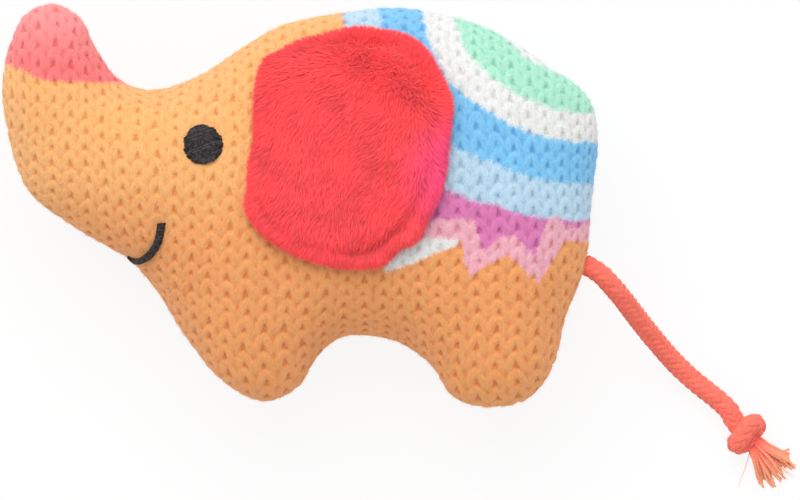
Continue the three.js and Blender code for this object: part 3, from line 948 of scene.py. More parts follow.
def knit_material():
    """Printed jersey: fuzzy yarn, with painted shade that deepens and darkens its colour in the
    stitch gaps.
    """
    material, tree, shader = new_material("Printed jersey knit")
    cover = settings().cover
    lean = 0.24
    fibres_across, fibres_along = 5.5, 0.9
    wales, courses, _ = split(out(add_node(tree, "ShaderNodeUVMap", uv_map="Stitches"), "UV"))
    column = maths("FRACT", wales) - 0.5
    across = column * maths("SIGN", column) * (cover.wale_width / MM)
    down = courses * (cover.course_height / MM)
    over, along = across + down * lean, down - across * lean
    yarn = combined(over * fibres_across, along * fibres_along, maths("FLOOR", wales))
    streaks = noise(yarn, 1.0, 2.5, 0.6)
    place = object_place(tree)
    grain = noise(place, 2600.0, 2.0)
    patches = noise(place, 90.0, 1.0)
    stitch = attribute(tree, "stitch")
    base = printed(tree)
    # Painted shade: where the stitch value is low, in the gaps and the seam's groove, the colour
    # turns deeper and darker
    deep = stitch.ranged(0.0, 0.75, 0.42, 0.0, smooth=True)
    base = mixed(deep, base, vectors("MULTIPLY", base, base))
    level = stitch.ranged(0.0, 0.8, 0.84, 1.01, smooth=True)
    level = level * patchy(streaks, 0.9, 1.07) * patchy(grain, 0.96, 1.03)
    coloured(shader, base, level * patchy(patches, 0.97, 1.02))
    bumped(shader, streaks + grain * 0.4, 0.00025)
    cloth_finish(shader)
    return material


def fuzz_material():
    """Loose fibres in the colour of the print under them."""
    material, tree, shader = new_material("Knit fuzz")
    coloured(shader, printed(tree), attribute(tree, "tone").ranged(0.0, 1.0, 0.96, 1.14))
    cloth_finish(shader, sheen=0.2)
    return material


def plush_colour(tree):
    """Red, turning pinker towards the tail."""
    hues = settings().colours
    away = vectors("DISTANCE", object_place(tree), PINK_SPOT)
    pinker = away.ranged(*PINK_REACH, 1.0, 0.0, smooth=True)
    return mixed(pinker, opaque(hues.ear_red), opaque(hues.ear_pink))


def pile_material():
    """Plush pile: painted shade darkens it at the roots and lightens it a little at the tips, and
    each tuft has a tone of its own.
    """
    material, tree, shader = new_material("Red plush pile")
    tone = attribute(tree, "tone").ranged(0.0, 1.0, 0.92, 1.10)
    # Painted shade: darker towards the roots of the pile, a little lighter at the tips
    root = attribute(tree, "along").ranged(0.0, 0.7, 0.92, 1.06, smooth=True)
    place = object_place(tree)
    patches = patchy(noise(place, 170.0, 2.0), 0.93, 1.1)
    tufts = patchy(noise(place, 1100.0, 1.0), 0.93, 1.06)
    coloured(shader, plush_colour(tree), tone * root * (patches * tufts))
    cloth_finish(shader, roughness=0.75, sheen=0.8, sheen_tint=(1, 0.4, 0.4))
    return material


def backing_material():
    """The pile's ground, seen between the tufts."""
    material, tree, shader = new_material("Red plush backing")
    place = object_place(tree)
    coloured(shader, plush_colour(tree), patchy(noise(place, 500.0, 3.0), 0.8, 1.0))
    bumped(shader, noise(place, 1800.0, 3.0), 0.0004)
    cloth_finish(shader)
    return material


def lining_material():
    """Smooth warp-knit back of the ears, with fine ribs."""
    material, tree, shader = new_material("Red ear lining")
    rib_pitch, row_pitch = 0.0007, 0.0009
    place = object_place(tree)
    x, y, _ = split(place)
    ribs = maths("SINE", x * (2 * math.pi / rib_pitch))
    weave = ribs * maths("SINE", y * (2 * math.pi / row_pitch))
    level = patchy(noise(place, 400.0, 2.0), 0.9, 1.04) + weave * 0.06
    coloured(shader, tuple(settings().colours.lining_red), level)
    bumped(shader, weave, 0.00006)
    cloth_finish(shader)
    return material


def toned_material(name, hue, other=None, low=0.88, high=1.14, sheen=0.6):
    """Yarn or thread whose strands differ a little in tone, turning to the other hue along them."""
    material, tree, shader = new_material(name)
    shade = mixed(attribute(tree, "along"), opaque(hue), opaque(other)) if other else tuple(hue)
    grain = noise(object_place(tree), 3200.0, 2.0)
    tone = attribute(tree, "tone").ranged(0.0, 1.0, low, high)
    coloured(shader, shade, tone * patchy(grain, 0.93, 1.05))
    bumped(shader, grain, 0.00015)
    cloth_finish(shader, roughness=0.8, sheen=sheen, sheen_tint=(1, 0.55, 0.42))
    return material


def thread_material():
    """Black embroidery thread, lit in short dashes by painted highlights in its colour."""
    material, tree, shader = new_material("Black embroidery thread")
    # Painted highlights: a noise scales the thread's colour from 0.3 to 3 times, in short dashes
    painted_glints = noise(object_place(tree), 1700.0, 2.0, 0.6).ranged(0.35, 0.68, 0.3, 3.0)
    tone = attribute(tree, "tone").ranged(0.0, 1.0, 0.5, 1.5)
    coloured(shader, tuple(settings().colours.thread_black), painted_glints * tone)
    cloth_finish(shader, roughness=0.55, sheen=0.05)
    return material


def fill_material():
    """Loose white fibre in soft clumps."""
    material, tree, shader = new_material("Fibre fill")
    clumps = noise(object_place(tree), 350.0, 4.0, 0.7)
    coloured(shader, tuple(settings().colours.fill), patchy(clumps, 0.85, 1.0))
    bumped(shader, clumps, 0.001)
    cloth_finish(shader)
    return material


def seen_rays(tree, *kinds):
    """1 for rays of these kinds, else 0."""
    rays = add_node(tree, "ShaderNodeLightPath")
    seen = out(rays, f"Is {kinds[0]} Ray")
    for kind in kinds[1:]:
        seen = maths("MAXIMUM", seen, out(rays, f"Is {kind} Ray"))
    return seen


def blended(part, first, second):
    """The first shader, or the second one where the part is 1."""
    return derive("ShaderNodeMixShader", {0: part, 1: first, 2: second})


# Cover


class CoverHalf:
    """One half of the cover, with the places of its stitches."""

    def __init__(self, swell, side, pillow):
        self.swell = swell
        self.side = side
        self.coarse = self.half_of(pillow)
        self.lay_stitches()

    def half_of(self, pillow):
        """The pillow's mesh on this side of the seam, with its cut edge on the outline."""
        seam = self.swell.seam
        on_plane, too_short = 1e-4, 0.05
        bm = bmesh.new()
        bm.from_mesh(pillow)
        bmesh.ops.bisect_plane(
            bm, geom=bm.verts[:] + bm.edges[:] + bm.faces[:], dist=on_plane,
            plane_co=Vector((0, 0, seam)), plane_no=(0, 0, self.side), clear_inner=True,
        )
        bmesh.ops.dissolve_degenerate(bm, dist=too_short, edges=bm.edges[:])
        edge = [v for v in bm.verts if v.is_boundary]
        for vertex, place in zip(edge, self.swell.settle([v.co for v in edge], in_plane=True)):
            vertex.co = (place[0], place[1], seam)
        mesh = bpy.data.meshes.new("half")
        bm.to_mesh(mesh)
        bm.free()
        return mesh

    def lay_stitches(self):
        """Lays the fabric's grid on the curved half, with its wales upright and stretched least."""
        cover = settings().cover
        mesh = self.coarse
        mesh.calc_loop_triangles()
        corners = np.array([t.vertices[:] for t in mesh.loop_triangles])
        p = coordinates(mesh)
        a, b, c = (p[corners[:, i]] for i in range(3))
        normals = unit(np.cross(b - a, c - a))
        along_x = unit(np.eye(3)[0] - normals * normals[:, :1])
        along_y = np.cross(normals, along_x) * self.side
        at = np.stack([
            spread_along(p, corners, heading, p[:, axis])
            for axis, heading in ((0, along_x), (1, along_y))
        ], 1)
        gap = on_body(STITCH_GAP_SHARE)
        nearest = np.argmin(((p[:, :2] - gap) ** 2).sum(1))
        at = at - at[nearest] + (p[nearest, :2] - gap)
        at = at / (cover.wale_width / MM, cover.course_height / MM) + (0.5, 0.0)
        layer = mesh.uv_layers.new(name="Stitches")
        loops = read(mesh.loops, "vertex_index", kind=np.int32)
        layer.uv.foreach_set("vector", at[loops].astype(np.float32).ravel())

    def refined(self):
        """The half with each cell cut in sixteen and set back on the cover's surface."""
        made = new_object("refined", self.coarse.copy())
        modifier = made.modifiers.new("Refine", "SUBSURF")
        modifier.levels = modifier.render_levels = 2
        modifier.uv_smooth = "SMOOTH_ALL"
        mesh = settled_mesh(made, "refined")
        drop(made)
        p = coordinates(mesh)
        edge = boundary_of(mesh)
        p[~edge] = self.swell.settle(p[~edge], rounds=3)
        p[edge] = self.swell.settle(p[edge], in_plane=True)
        p[edge, 2] = self.swell.seam
        place_vertices(mesh, p)
        return mesh

    def stitched(self, mesh):
        """Raises the stitches, the seam's groove and the dents under the embroidery, and stores the
        stitch value, which also sets the knit's painted shade.
        """
        cover = settings().cover
        seam = self.swell.seam
        mean_stitch, dent, puckers_per_stitch = 0.75, 0.0002, 0.9
        p = coordinates(mesh)
        outward = unit(self.swell.slope(p))
        outward[boundary_of(mesh), 2] = 0
        at = np.zeros((len(p), 2))
        loops = read(mesh.loops, "vertex_index", kind=np.int32)
        at[loops] = read(mesh.uv_layers["Stitches"].uv, "vector", 2)
        at = uneven(at)
        stitch = stitch_height(at)
        from_seam = np.abs(p[:, 2] - seam) * MM
        groove = np.exp(-((from_seam / cover.seam_width) ** 2))
        wave = np.sin(2 * math.pi * (at[:, 0] + at[:, 1]) * puckers_per_stitch)
        puckers = 0.5 + 0.5 * wave
        face = self.embroidered(p)
        rise = (stitch - mean_stitch) * cover.stitch_depth
        rise = rise * (1 - 0.7 * groove) * (1 - 0.85 * face)
        rise -= groove * cover.seam_depth * (0.75 + 0.25 * puckers) + dent * face
        place_vertices(mesh, p + unit(outward) * (rise / MM)[:, None])
        # Painted shade: the stored stitch value is lower along the seam's groove, so the knit's
        # colour darkens there, and higher under the embroidery
        store(mesh, "stitch", np.clip(stitch * (1 - 0.45 * groove) + 0.5 * face, 0, 1))

    def embroidered(self, p):
        """1 under the embroidery, 0 away from it."""
        face = settings().face
        searched, far, fade = 10, 9.0, 1.2
        to_eye = np.linalg.norm(p[:, :2] - on_body(EYE_CENTRE_SHARE), axis=1)
        path = evenly(smooth_curve(on_body(SMILE_PATH_SHARES)), 40)
        near = (np.abs(p[:, :2] - path.mean(0)) < searched).all(1)
        to_smile = np.linalg.norm(p[near, None, :2] - path[None], axis=2).min(1)
        smile = np.full(len(p), far)
        smile[near] = to_smile - face.smile_width / MM / 2
        nearest = np.minimum(to_eye - face.eye_diameter / MM / 2, smile)
        return 1 - np.clip(nearest / fade, 0, 1)

    def solid(self, name):
        """The finished half as a shell with an inner wall, in metres."""
        cover = settings().cover
        outer = self.refined()
        self.stitched(outer)
        bm = bmesh.new()
        bm.from_mesh(outer)
        bm.verts.ensure_lookup_table()
        inner = coordinates(self.coarse)
        inward = unit(self.swell.slope(inner))
        edge = boundary_of(self.coarse)
        inward[edge, 2] = 0
        inner -= unit(inward) * (cover.wall / MM)
        verts = [bm.verts.new(p) for p in inner]
        for polygon in self.coarse.polygons:
            bm.faces.new([verts[i] for i in reversed(polygon.vertices)])
        bm.edges.index_update()
        bmesh.ops.bridge_loops(bm, edges=[e for e in bm.edges if e.is_boundary])
        bmesh.ops.triangulate(bm, faces=[f for f in bm.faces if len(f.verts) > 4])
        bmesh.ops.scale(bm, vec=(MM, MM, MM), verts=bm.verts[:])
        mesh = bpy.data.meshes.new(name)
        bm.to_mesh(mesh)
        bm.free()
        bpy.data.meshes.remove(outer)
        shade_smooth(mesh)
        return mesh


def boundary_of(mesh):
    """Which vertices lie on an open edge."""
    loop_edges = read(mesh.loops, "edge_index", kind=np.int32)
    ends = read(mesh.edges, "vertices", 2, np.int32)
    found = np.zeros(len(mesh.vertices), bool)
    found[ends[np.bincount(loop_edges, minlength=len(mesh.edges)) == 1].ravel()] = True
    return found


def spread_along(p, corners, heading, start):
    """The value whose slope over the triangles is nearest the heading, by conjugate gradients."""
    least_cotangent, most_cotangent = 0.05, 20
    most_rounds, small_enough = 600, 1e-10
    ends, weights, drops = [], [], []
    for i in range(3):
        a, b, c = corners[:, i], corners[:, (i + 1) % 3], corners[:, (i + 2) % 3]
        to_a, to_b = p[a] - p[c], p[b] - p[c]
        twice_area = np.linalg.norm(np.cross(to_a, to_b), axis=1)
        cotangent = (to_a * to_b).sum(1) / np.maximum(twice_area, 1e-9)
        ends.append((a, b))
        weights.append(np.clip(cotangent, least_cotangent, most_cotangent) / 2)
        drops.append(((p[a] - p[b]) * heading).sum(1))
    a, b = (np.concatenate([e[i] for e in ends]) for i in (0, 1))
    weight, drop_ab = np.concatenate(weights), np.concatenate(drops)
    size = len(p)

    def flow_out(flow):
        return np.bincount(a, flow, size) - np.bincount(b, flow, size)

    scale = np.bincount(a, weight, size) + np.bincount(b, weight, size)
    value = np.array(start, float)
    residual = flow_out(weight * (drop_ab - (value[a] - value[b])))
    direction = residual / scale
    energy = residual @ direction
    for _ in range(most_rounds):
        pushed = flow_out(weight * (direction[a] - direction[b]))
        step = energy / (direction @ pushed)
        value += step * direction
        residual -= step * pushed
        fresh = residual @ (residual / scale)
        if fresh < small_enough:
            break
        direction = residual / scale + fresh / energy * direction
        energy = fresh
    return value


def stitch_height(at):
    """The height of the jersey from 0 in its gaps to 1 on its yarn, at places counted in stitches.
    Each stitch is an arch over its gap, and a smaller gap opens where its feet meet the next
    wale's."""
    cover = settings().cover
    most_shift, most_sunk = 0.55, 0.16
    foot_down, foot_size = (0, 0.4), (0.42, 0.62)
    pitch = np.array([cover.wale_width, cover.course_height]) / MM
    radius = cover.yarn_width / MM / 2
    path = np.array(STITCH_PATH)
    cell = np.stack([np.floor(at[:, 0]), np.round(at[:, 1])], 1)
    inside = (at - cell - (0.5, 0)) * pitch
    best = np.zeros(len(at))
    for column in (-1, 0, 1):
        for row in (-1, 0, 1):
            chances = scatter(cell + (column, row))
            shift = (chances[:, :2] - 0.5) * most_shift
            full = 1 - most_sunk * chances[:, 2]
            for hand in (-1, 1):
                line = (path[:, :2] * (hand, 1) + (column, row)) * pitch
                for start, end, low, high in zip(line[:-1], line[1:], path[:-1, 2], path[1:, 2]):
                    run = end - start
                    to = inside - start - shift
                    part = np.clip((to @ run) / (run @ run), 0, 1)
                    away = np.linalg.norm(to - part[:, None] * run, axis=1) / radius
                    height = full * (low + part * (high - low))
                    best = np.maximum(best, np.sqrt(np.clip(1 - away**2, 0, 1)) * height)
    foot = np.round(at - foot_down)
    to_foot = (at - foot - foot_down) * pitch / foot_size
    return best * (1 - (0.12 + 0.4 * scatter(foot + 40)[:, 2]) * np.exp(-(to_foot**2).sum(1)))


def scatter(cells):
    """Three numbers from 0 to 1 for each cell, as if by chance but always the same."""
    u, v = cells.T
    waves = ((12.99, 78.23), (39.35, 11.13), (73.16, 52.23))
    return np.stack([np.sin(u * a + v * b) * 4375.85 % 1 for a, b in waves], 1)


def uneven(at):
    """Places counted in stitches, shifted a little as hand-fed fabric is."""
    u, v = at.T
    shift_u = 0.12 * np.sin(0.55 * u + 0.31 * v + 0.4) + 0.07 * np.sin(1.3 * v - 0.4 * u + 2.0)
    shift_v = 0.16 * np.sin(0.47 * u - 0.36 * v + 1.1) + 0.10 * np.sin(1.7 * u + 0.5 * v + 0.3)
    return at + np.stack([shift_u, shift_v], 1)


def pillow_mesh(swell):
    """The whole stuffed cover as an even mesh, in millimetres."""
    outline = swell.outline
    first, last = np.argmin(outline[:, 0]), np.argmax(outline[:, 0])
    ordered = np.roll(outline, -first, axis=0)
    turn = (last - first) % len(outline)
    back, belly = ordered[: turn + 1], np.vstack([ordered[turn:], ordered[:1]])[::-1]
    columns, ring = 260, 96
    left, right = outline[first, 0], outline[last, 0]
    x = (left + right) / 2 - (right - left) / 2 * np.cos(math.pi * np.arange(1, columns) / columns)
    top, bottom = np.interp(x, back[:, 0], back[:, 1]), np.interp(x, belly[:, 0], belly[:, 1])
    angle = 2 * math.pi * np.arange(ring) / ring
    y = ((top + bottom) / 2)[:, None] + ((top - bottom) / 2)[:, None] * np.cos(angle)[None]
    xs = np.repeat(x[:, None], ring, 1)
    side = np.where(angle <= math.pi, LEFT, RIGHT)[None]
    rise = np.where(side == LEFT, swell.height(LEFT, xs, y), swell.height(RIGHT, xs, y))
    rise[:, [0, ring // 2]] = 0
    points = np.stack([xs, y, swell.seam + side * rise], 2).reshape(-1, 3)
    faces = []
    for i in range(columns - 2):
        for j in range(ring):
            k = (j + 1) % ring
            faces.append((i * ring + j, i * ring + k, (i + 1) * ring + k, (i + 1) * ring + j))
    faces.append(tuple(range(ring))[::-1])
    faces.append(tuple(range((columns - 2) * ring, (columns - 1) * ring)))
    return mesh_of("pillow", points, faces)


def even_pillow(swell, cell):
    """The stuffed cover's mesh with cells of this size, settled on the swell's surface."""
    made = new_object("pillow", pillow_mesh(swell))
    modifier = made.modifiers.new("Even cells", "REMESH")
    modifier.mode = "VOXEL"
    modifier.voxel_size = cell
    mesh = settled_mesh(made, "even pillow")
    drop(made)
    p = swell.settle(coordinates(mesh))
    near_share = 0.4
    near = np.abs(p[:, 2] - swell.seam) < near_share * cell
    p[near, 2] = swell.seam
    place_vertices(mesh, p)
    return mesh


# Ears and face


def ear_border(inset, number):
    """The ear's outline on the side view in millimetres, set in on all sides."""
    ears = settings().ears
    size = np.array([ears.ear_length, ears.ear_height]) / MM - 2 * inset
    corners = on_body(EAR_CENTRE_SHARE) + np.array(EAR_OUTLINE_SHARES) * size
    return rounded_outline(corners, number)[::-1]


def from_sewn_line(places):
    """How far places lie behind the ear's sewn front edge, in millimetres."""
    top, low = on_body(SEWN_LINE_SHARES)
    run = low - top
    x, y = (places - top).T
    return (x * -run[1] + y * run[0]) / np.linalg.norm(run)


def pad_mesh(name, swell, side, border, rings, lift, rise, floor=None):
    """A pad between a border and its own top: rings of places, each with a point above and below.
    rise gives its thickness from the places and their way to the border."""
    dome_power = 5
    centre = on_body(EAR_CENTRE_SHARE)
    shares = np.sin(math.pi / 2 * np.arange(1, rings + 1) / rings)
    spokes = len(border)
    places = np.vstack([centre, *(centre + s * (border - centre) for s in shares)])
    out_share = np.concatenate([[0], np.repeat(shares, spokes)])
    full_way = np.linalg.norm(border - centre, axis=1)
    to_border = np.concatenate([[full_way.min()], *((1 - s) * full_way for s in shares)])
    under, normals = lifted(swell, side, ear_height, places, lift)
    dome = np.sqrt(np.clip(1 - out_share**dome_power, 0, 1))
    thickness = rise(places, to_border) * dome
    over = under + normals * thickness[:, None]
    total = len(places)
    rim = total - spokes
    points = np.vstack([over, under[:rim]])
    if floor is not None:
        points[:, 2] = np.maximum(points[:, 2], floor)
    faces = []

    def add(corners, below):
        corners = [c + total if below and c < rim else c for c in corners]
        faces.append(corners[::-1] if (side == LEFT) == below else corners)

    for below in (False, True):
        for i in range(spokes):
            j = (i + 1) % spokes
            add([0, 1 + i, 1 + j], below)
            for ring in range(rings - 1):
                a, b = 1 + ring * spokes, 1 + (ring + 1) * spokes
                add([a + i, b + i, b + j, a + j], below)
    mesh = mesh_of(name, points * MM, faces)
    shade_smooth(mesh)
    return mesh, places, normals, to_border, total


def pile_flow(places, normals, to_border, side):
    """Which way the pile lies: combed away from a short parting in waves, and back from the open
    groove. By the lower ear's sewn line it lies backwards, so the ear has room to swing down."""
    ears = settings().ears
    parted, groove_back, groove_reach, edge_reach, sewn_reach = 8, 1.2, 0.9, 2.5, 4
    outwards = places - on_body(EAR_CENTRE_SHARE)
    start, end = np.array(PILE_PARTING_SHARES) * (ears.ear_length, ears.ear_height) / MM
    run = end - start
    along = np.clip((outwards - start) @ run / (run @ run), 0, 1)
    away = outwards - start - np.outer(along, run)
    angle = np.arctan2(away[:, 1], away[:, 0])
    u, v = (places / 20).T
    long_waves = 0.35 * np.sin(4.1 * u + 2.3 * v + 0.4)
    short_waves = 0.3 * np.sin(11 * u + 7 * v) * np.sin(9 * v - 5 * u + 0.7)
    angle += long_waves + short_waves
    combed = np.clip(np.linalg.norm(away, axis=1) / parted, 0, 1)[:, None]
    from_groove = to_border - ears.groove_inset / MM - groove_back
    by_groove = np.exp(-((from_groove / groove_reach) ** 2)) * groove_shown(places)
    by_edge = 0.7 * np.exp(-to_border / edge_reach)
    flow = np.stack([np.cos(angle), np.sin(angle)], 1) * combed
    flow = flow + unit(outwards) * (by_edge - by_groove)[:, None]
    flow = np.hstack([flow, np.zeros((len(u), 1))])
    if side == RIGHT:
        held = np.clip(1 - from_sewn_line(places) / sewn_reach, 0, 1)
        backwards = np.maximum(flow[:, 0], 0.6 * held)
        flow[:, 0] = np.where(held > 0, backwards, flow[:, 0])
    return flow - normals * (flow * normals).sum(1, keepdims=True)


def groove_shown(places):
    """How open the topstitched groove is, from 0 to 1: it shows best in three directions."""
    away = places - on_body(EAR_CENTRE_SHARE)
    angle = np.degrees(np.arctan2(away[:, 1], away[:, 0])) % 360
    directions, breadth = ((60, 1.0), (205, 0.5), (292, 1.0)), 28
    shown = sum(full * np.exp(-(((angle - middle) / breadth) ** 2)) for middle, full in directions)
    return np.clip(shown, 0, 1)


def quilting(places, to_border):
    """The topstitched groove inside the ear's edge, from 0 to 1."""
    ears = settings().ears
    groove = np.exp(-(((to_border - ears.groove_inset / MM) / (ears.groove_width / MM)) ** 2))
    return groove * np.clip(0.3 + 0.8 * groove_shown(places), 0, 1)


def make_ear(swell, name, side):
    """An ear's plain back, its padded plush backing and the pile that stands on the backing."""
    ears = settings().ears
    body = f"{name}_ear"
    floor = 0.05 if side == RIGHT else None
    outline_fill, thinnest, thinnest_share = 0.84, 0.25, 0.12

    lining, *_ = pad_mesh(
        f"{name}_ear_back", swell, side, ear_border(ears.lining_inset / MM, 160), 12,
        ears.clearance / MM, lambda places, to_border: np.full(len(places), ears.lining / MM),
    )
    back = new_object(f"{name}_ear_back", lining)
    finish_piece(back, body, MADE["lining"], [f"{name}_ear_lining"])

    def padding(places, to_border):
        pinch = 1 - np.exp(-np.maximum(from_sewn_line(places), 0) / (ears.pinch / MM))
        full = ears.plush * ears.backing_share / MM
        full = full - quilting(places, to_border) * ears.groove_depth / MM
        return np.maximum(full, thinnest) * np.maximum(pinch, thinnest_share)

    mesh, places, normals, to_border, top_count = pad_mesh(
        f"{name}_ear_plush_backing", swell, side, ear_border(ears.backing_inset / MM, 200), 30,
        (ears.lining + 2 * ears.clearance) / MM, padding, floor,
    )
    backing = new_object(f"{name}_ear_plush_backing", mesh)
    flow = pile_flow(places, normals, to_border, side)
    fuller, fuller_reach, trimmed, trimmed_reach = 0.5, 1.5, 0.42, 1.3
    cover = (1 - quilting(places, to_border)) * (1 + fuller * np.exp(-to_border / fuller_reach))
    length_share = 1 - trimmed * np.exp(-to_border / trimmed_reach)
    below = len(mesh.vertices) - top_count
    store(mesh, "flow", np.vstack([flow, flow[:below]]), "FLOAT_VECTOR")
    store(mesh, "cover", np.concatenate([cover, np.zeros(below)]))
    store(mesh, "length_share", np.concatenate([length_share, length_share[:below]]))
    grown = new_object(f"{name}_ear_pile", mesh.copy())
    grow(grown, f"{name}_ear_pile", MADE["fibres_tree"], {
        "Density": ears.pile_per_mm2 / MM**2, "Length": ears.pile_length, "Width": ears.pile_width,
        "Lift": 0.42, "Stray": 0.38, "Bend": -0.35, "Shortest": 0.62,
        "Floor": FIBRE_FLOOR, "Seed": 3 if side == LEFT else 4, "Material": MADE["pile"],
    })
    finish_piece(backing, body, MADE["backing"], [f"{name}_ear_plush"])
    finish_piece(grown, body, replaces=[f"{name}_ear_plush"])


def make_eye(swell, name, side):
    """A domed disc of long parallel satin stitches."""
    face = settings().face
    width = face.thread_width / MM
    edge_inset, row_pitch, shortest_half, bury = width * 0.45, width * 0.62, 0.3, 0.25
    radius = face.eye_diameter / MM / 2 - edge_inset
    ahead = np.array([math.cos(face.eye_slant), math.sin(face.eye_slant)])
    across = left_of(ahead)
    centre = on_body(EYE_CENTRE_SHARE)
    random = np.random.default_rng(11)
    run = np.linspace(-1, 1, 15)
    paths, tones = [], []
    for row in np.arange(-radius + edge_inset, radius, row_pitch):
        half = math.sqrt(max(radius**2 - row**2, 0)) + random.uniform(-0.2, 0.2)
        if half < shortest_half:
            continue
        sideways = row + random.uniform(-0.05, 0.05)
        places = centre + np.outer(run * half, ahead) + sideways * across
        dome = face.eye_rise / MM * np.sqrt(np.clip(1 - (row / radius) ** 2 * 0.8, 0, 1))
        lift = dome * (1 - np.abs(run) ** 5) - bury * np.abs(run) ** 9
        paths.append(lifted(swell, side, Swell.height, places, lift + 0.06)[0])
        tones.append(random.uniform(0, 1))
    made = threads(f"{name}_eye_embroidery", paths, width * 1.3, 6, MADE["thread"], tones)
    finish_piece(made, "root", replaces=[f"{name}_eye"])


def make_smile(swell, name, side):
    """A satin line: short slanting stitches laid close across its path."""
    face = settings().face
    width = face.thread_width / MM
    pitch, slant, bow, bury = width * 0.55, 0.25, 0.25, 0.2
    path = smooth_curve(on_body(SMILE_PATH_SHARES))
    stations = evenly(path, int(steps_of(path).sum() / pitch))
    ahead = unit(np.gradient(stations, axis=0))
    random = np.random.default_rng(17)
    paths, girths, tones = [], [], []
    tapers = np.interp(
        np.linspace(0, 1, len(stations)), (0, 0.6, 0.8, 1), (1.06, 1.04, 0.55, 0.0)
    )
    run = np.linspace(-1, 1, 9)
    for spot, way, over, taper in zip(stations, ahead, left_of(ahead), tapers):
        half = (face.smile_width / MM - width) / 2 * random.uniform(0.9, 1.1) * taper
        places = spot + np.outer(run * half, unit(over - slant * way))
        places = places - np.outer(bow * (1 - run**2), way)
        lift = face.smile_rise / MM * (1 - np.abs(run) ** 4) * min(0.3 + taper, 1)
        lift = lift - bury * np.abs(run) ** 8
        paths.append(lifted(swell, side, Swell.height, places, lift + 0.05)[0])
        girths.append(np.full(len(run), min(0.6 + taper, 1)))
        tones.append(random.uniform(0, 1))
    made = threads(f"{name}_smile_embroidery", paths, width * 1.3, 6, MADE["thread"], tones, girths)
    finish_piece(made, "root", replaces=[f"{name}_smile"])


# Tail


def sides_along(path):
    """Two directions square to the path that don't twist along it."""
    ahead = unit(np.gradient(path, axis=0))
    side = unit(np.cross(ahead[0], (0.0, 0.0, 1.0)))
    sides = []
    for way in ahead:
        side = unit(side - way * (side @ way))
        sides.append(side)
    sides = np.array(sides)
    return sides, np.cross(sides, ahead)


def plait(path, diameter):
    """The yarns of a round braid along a path in millimetres: each runs over two yarns of the other
    hand and then under two."""
    tail = settings().tail
    each_way = tail.yarns_each_way
    along = along_of(path)
    side, up = sides_along(path)
    yarn = tail.braid_yarn_width * diameter / tail.cord_diameter
    weave_share = 0.16
    weave = yarn * weave_share
    middle = diameter / 2 - yarn / 2 - weave
    yarns = []
    for hand in (1, -1):
        for number in range(each_way):
            turn = hand * 2 * math.pi * along / (tail.plait_pitch / MM)
            turn = turn + 2 * math.pi * number / each_way
            over = np.cos(each_way / 2 * turn + math.pi / 4)
            radius = (middle + hand * weave * over)[:, None]
            turn = turn[:, None]
            yarns.append(path + radius * (np.cos(turn) * side + np.sin(turn) * up))
    return yarns, yarn


def braided(name, path, diameter):
    """A braid round a plain core, which fills the space inside its yarns."""
    yarns, yarn = plait(path, diameter)
    core = (diameter - 2 * yarn) / yarn
    girths = [np.ones(len(y)) for y in yarns] + [np.full(len(path), core)]
    tones = np.append(np.random.default_rng(7).uniform(0.2, 0.9, len(yarns)), 0.0)
    return threads(name, [*yarns, path], yarn * 1.08, 8, MADE["cord"], tones, girths)


def make_tail():
    """The cord, its end caught in the seam, the knot and the frayed end."""
    tail = settings().tail
    room_to_swing, knot_thinness, points_per_mm = 0.7, 0.97, 3
    diameter = tail.cord_diameter / MM
    route = smooth_curve(TAIL_ROUTE) / MM
    total = steps_of(route).sum()
    root = route[0]
    way = unit((route[PER_SPAN] - root) * (1, 1, 0))
    heading = np.array(KNOT_HEADING)
    tucked = np.linspace(tail.tucked, tail.tucked / 3, 3)[:, None] / MM
    whole = np.vstack([root - way * tucked, route, route[-1] + heading * tucked[::-1]])
    cord = braided("tail_braided_cord", evenly(whole, int(total * points_per_mm)), diameter)

    clearance = settings().ears.clearance
    start = root - way * (diameter / 2 + (tail.anchor_length + clearance) / MM)
    anchor_end = root - way * (diameter / 2 + clearance / MM + room_to_swing)
    anchor_path = start + np.linspace(0, 1, 22)[:, None] * (anchor_end - start)
    anchor = braided("tail_cord_end_in_seam", anchor_path, diameter)
    finish_piece(anchor, "root", replaces=["tail_anchor"])

    middle = np.array(TAIL_ROUTE[-1]) / MM + heading * tail.knot_length / MM / 2
    middle[2] = tail.knot_height / MM / 2
    ahead, aside, up = np.array(KNOT_PATH).T[:, :, None]
    path = middle + ahead * heading + aside * left_of(heading) + up * (0, 0, 1)
    knot_line = evenly(smooth_curve(path), 110)
    knot = braided("tail_overhand_knot", knot_line, diameter * knot_thinness)
    tassel = make_tassel(middle)

    for made, node in ((knot, "tail_knot"), (tassel, "tail_tassel"), (cord, "tail_cord")):
        finish_piece(made, "tail", replaces=[node])
    line = smooth_curve(TAIL_ROUTE, per_span=3)


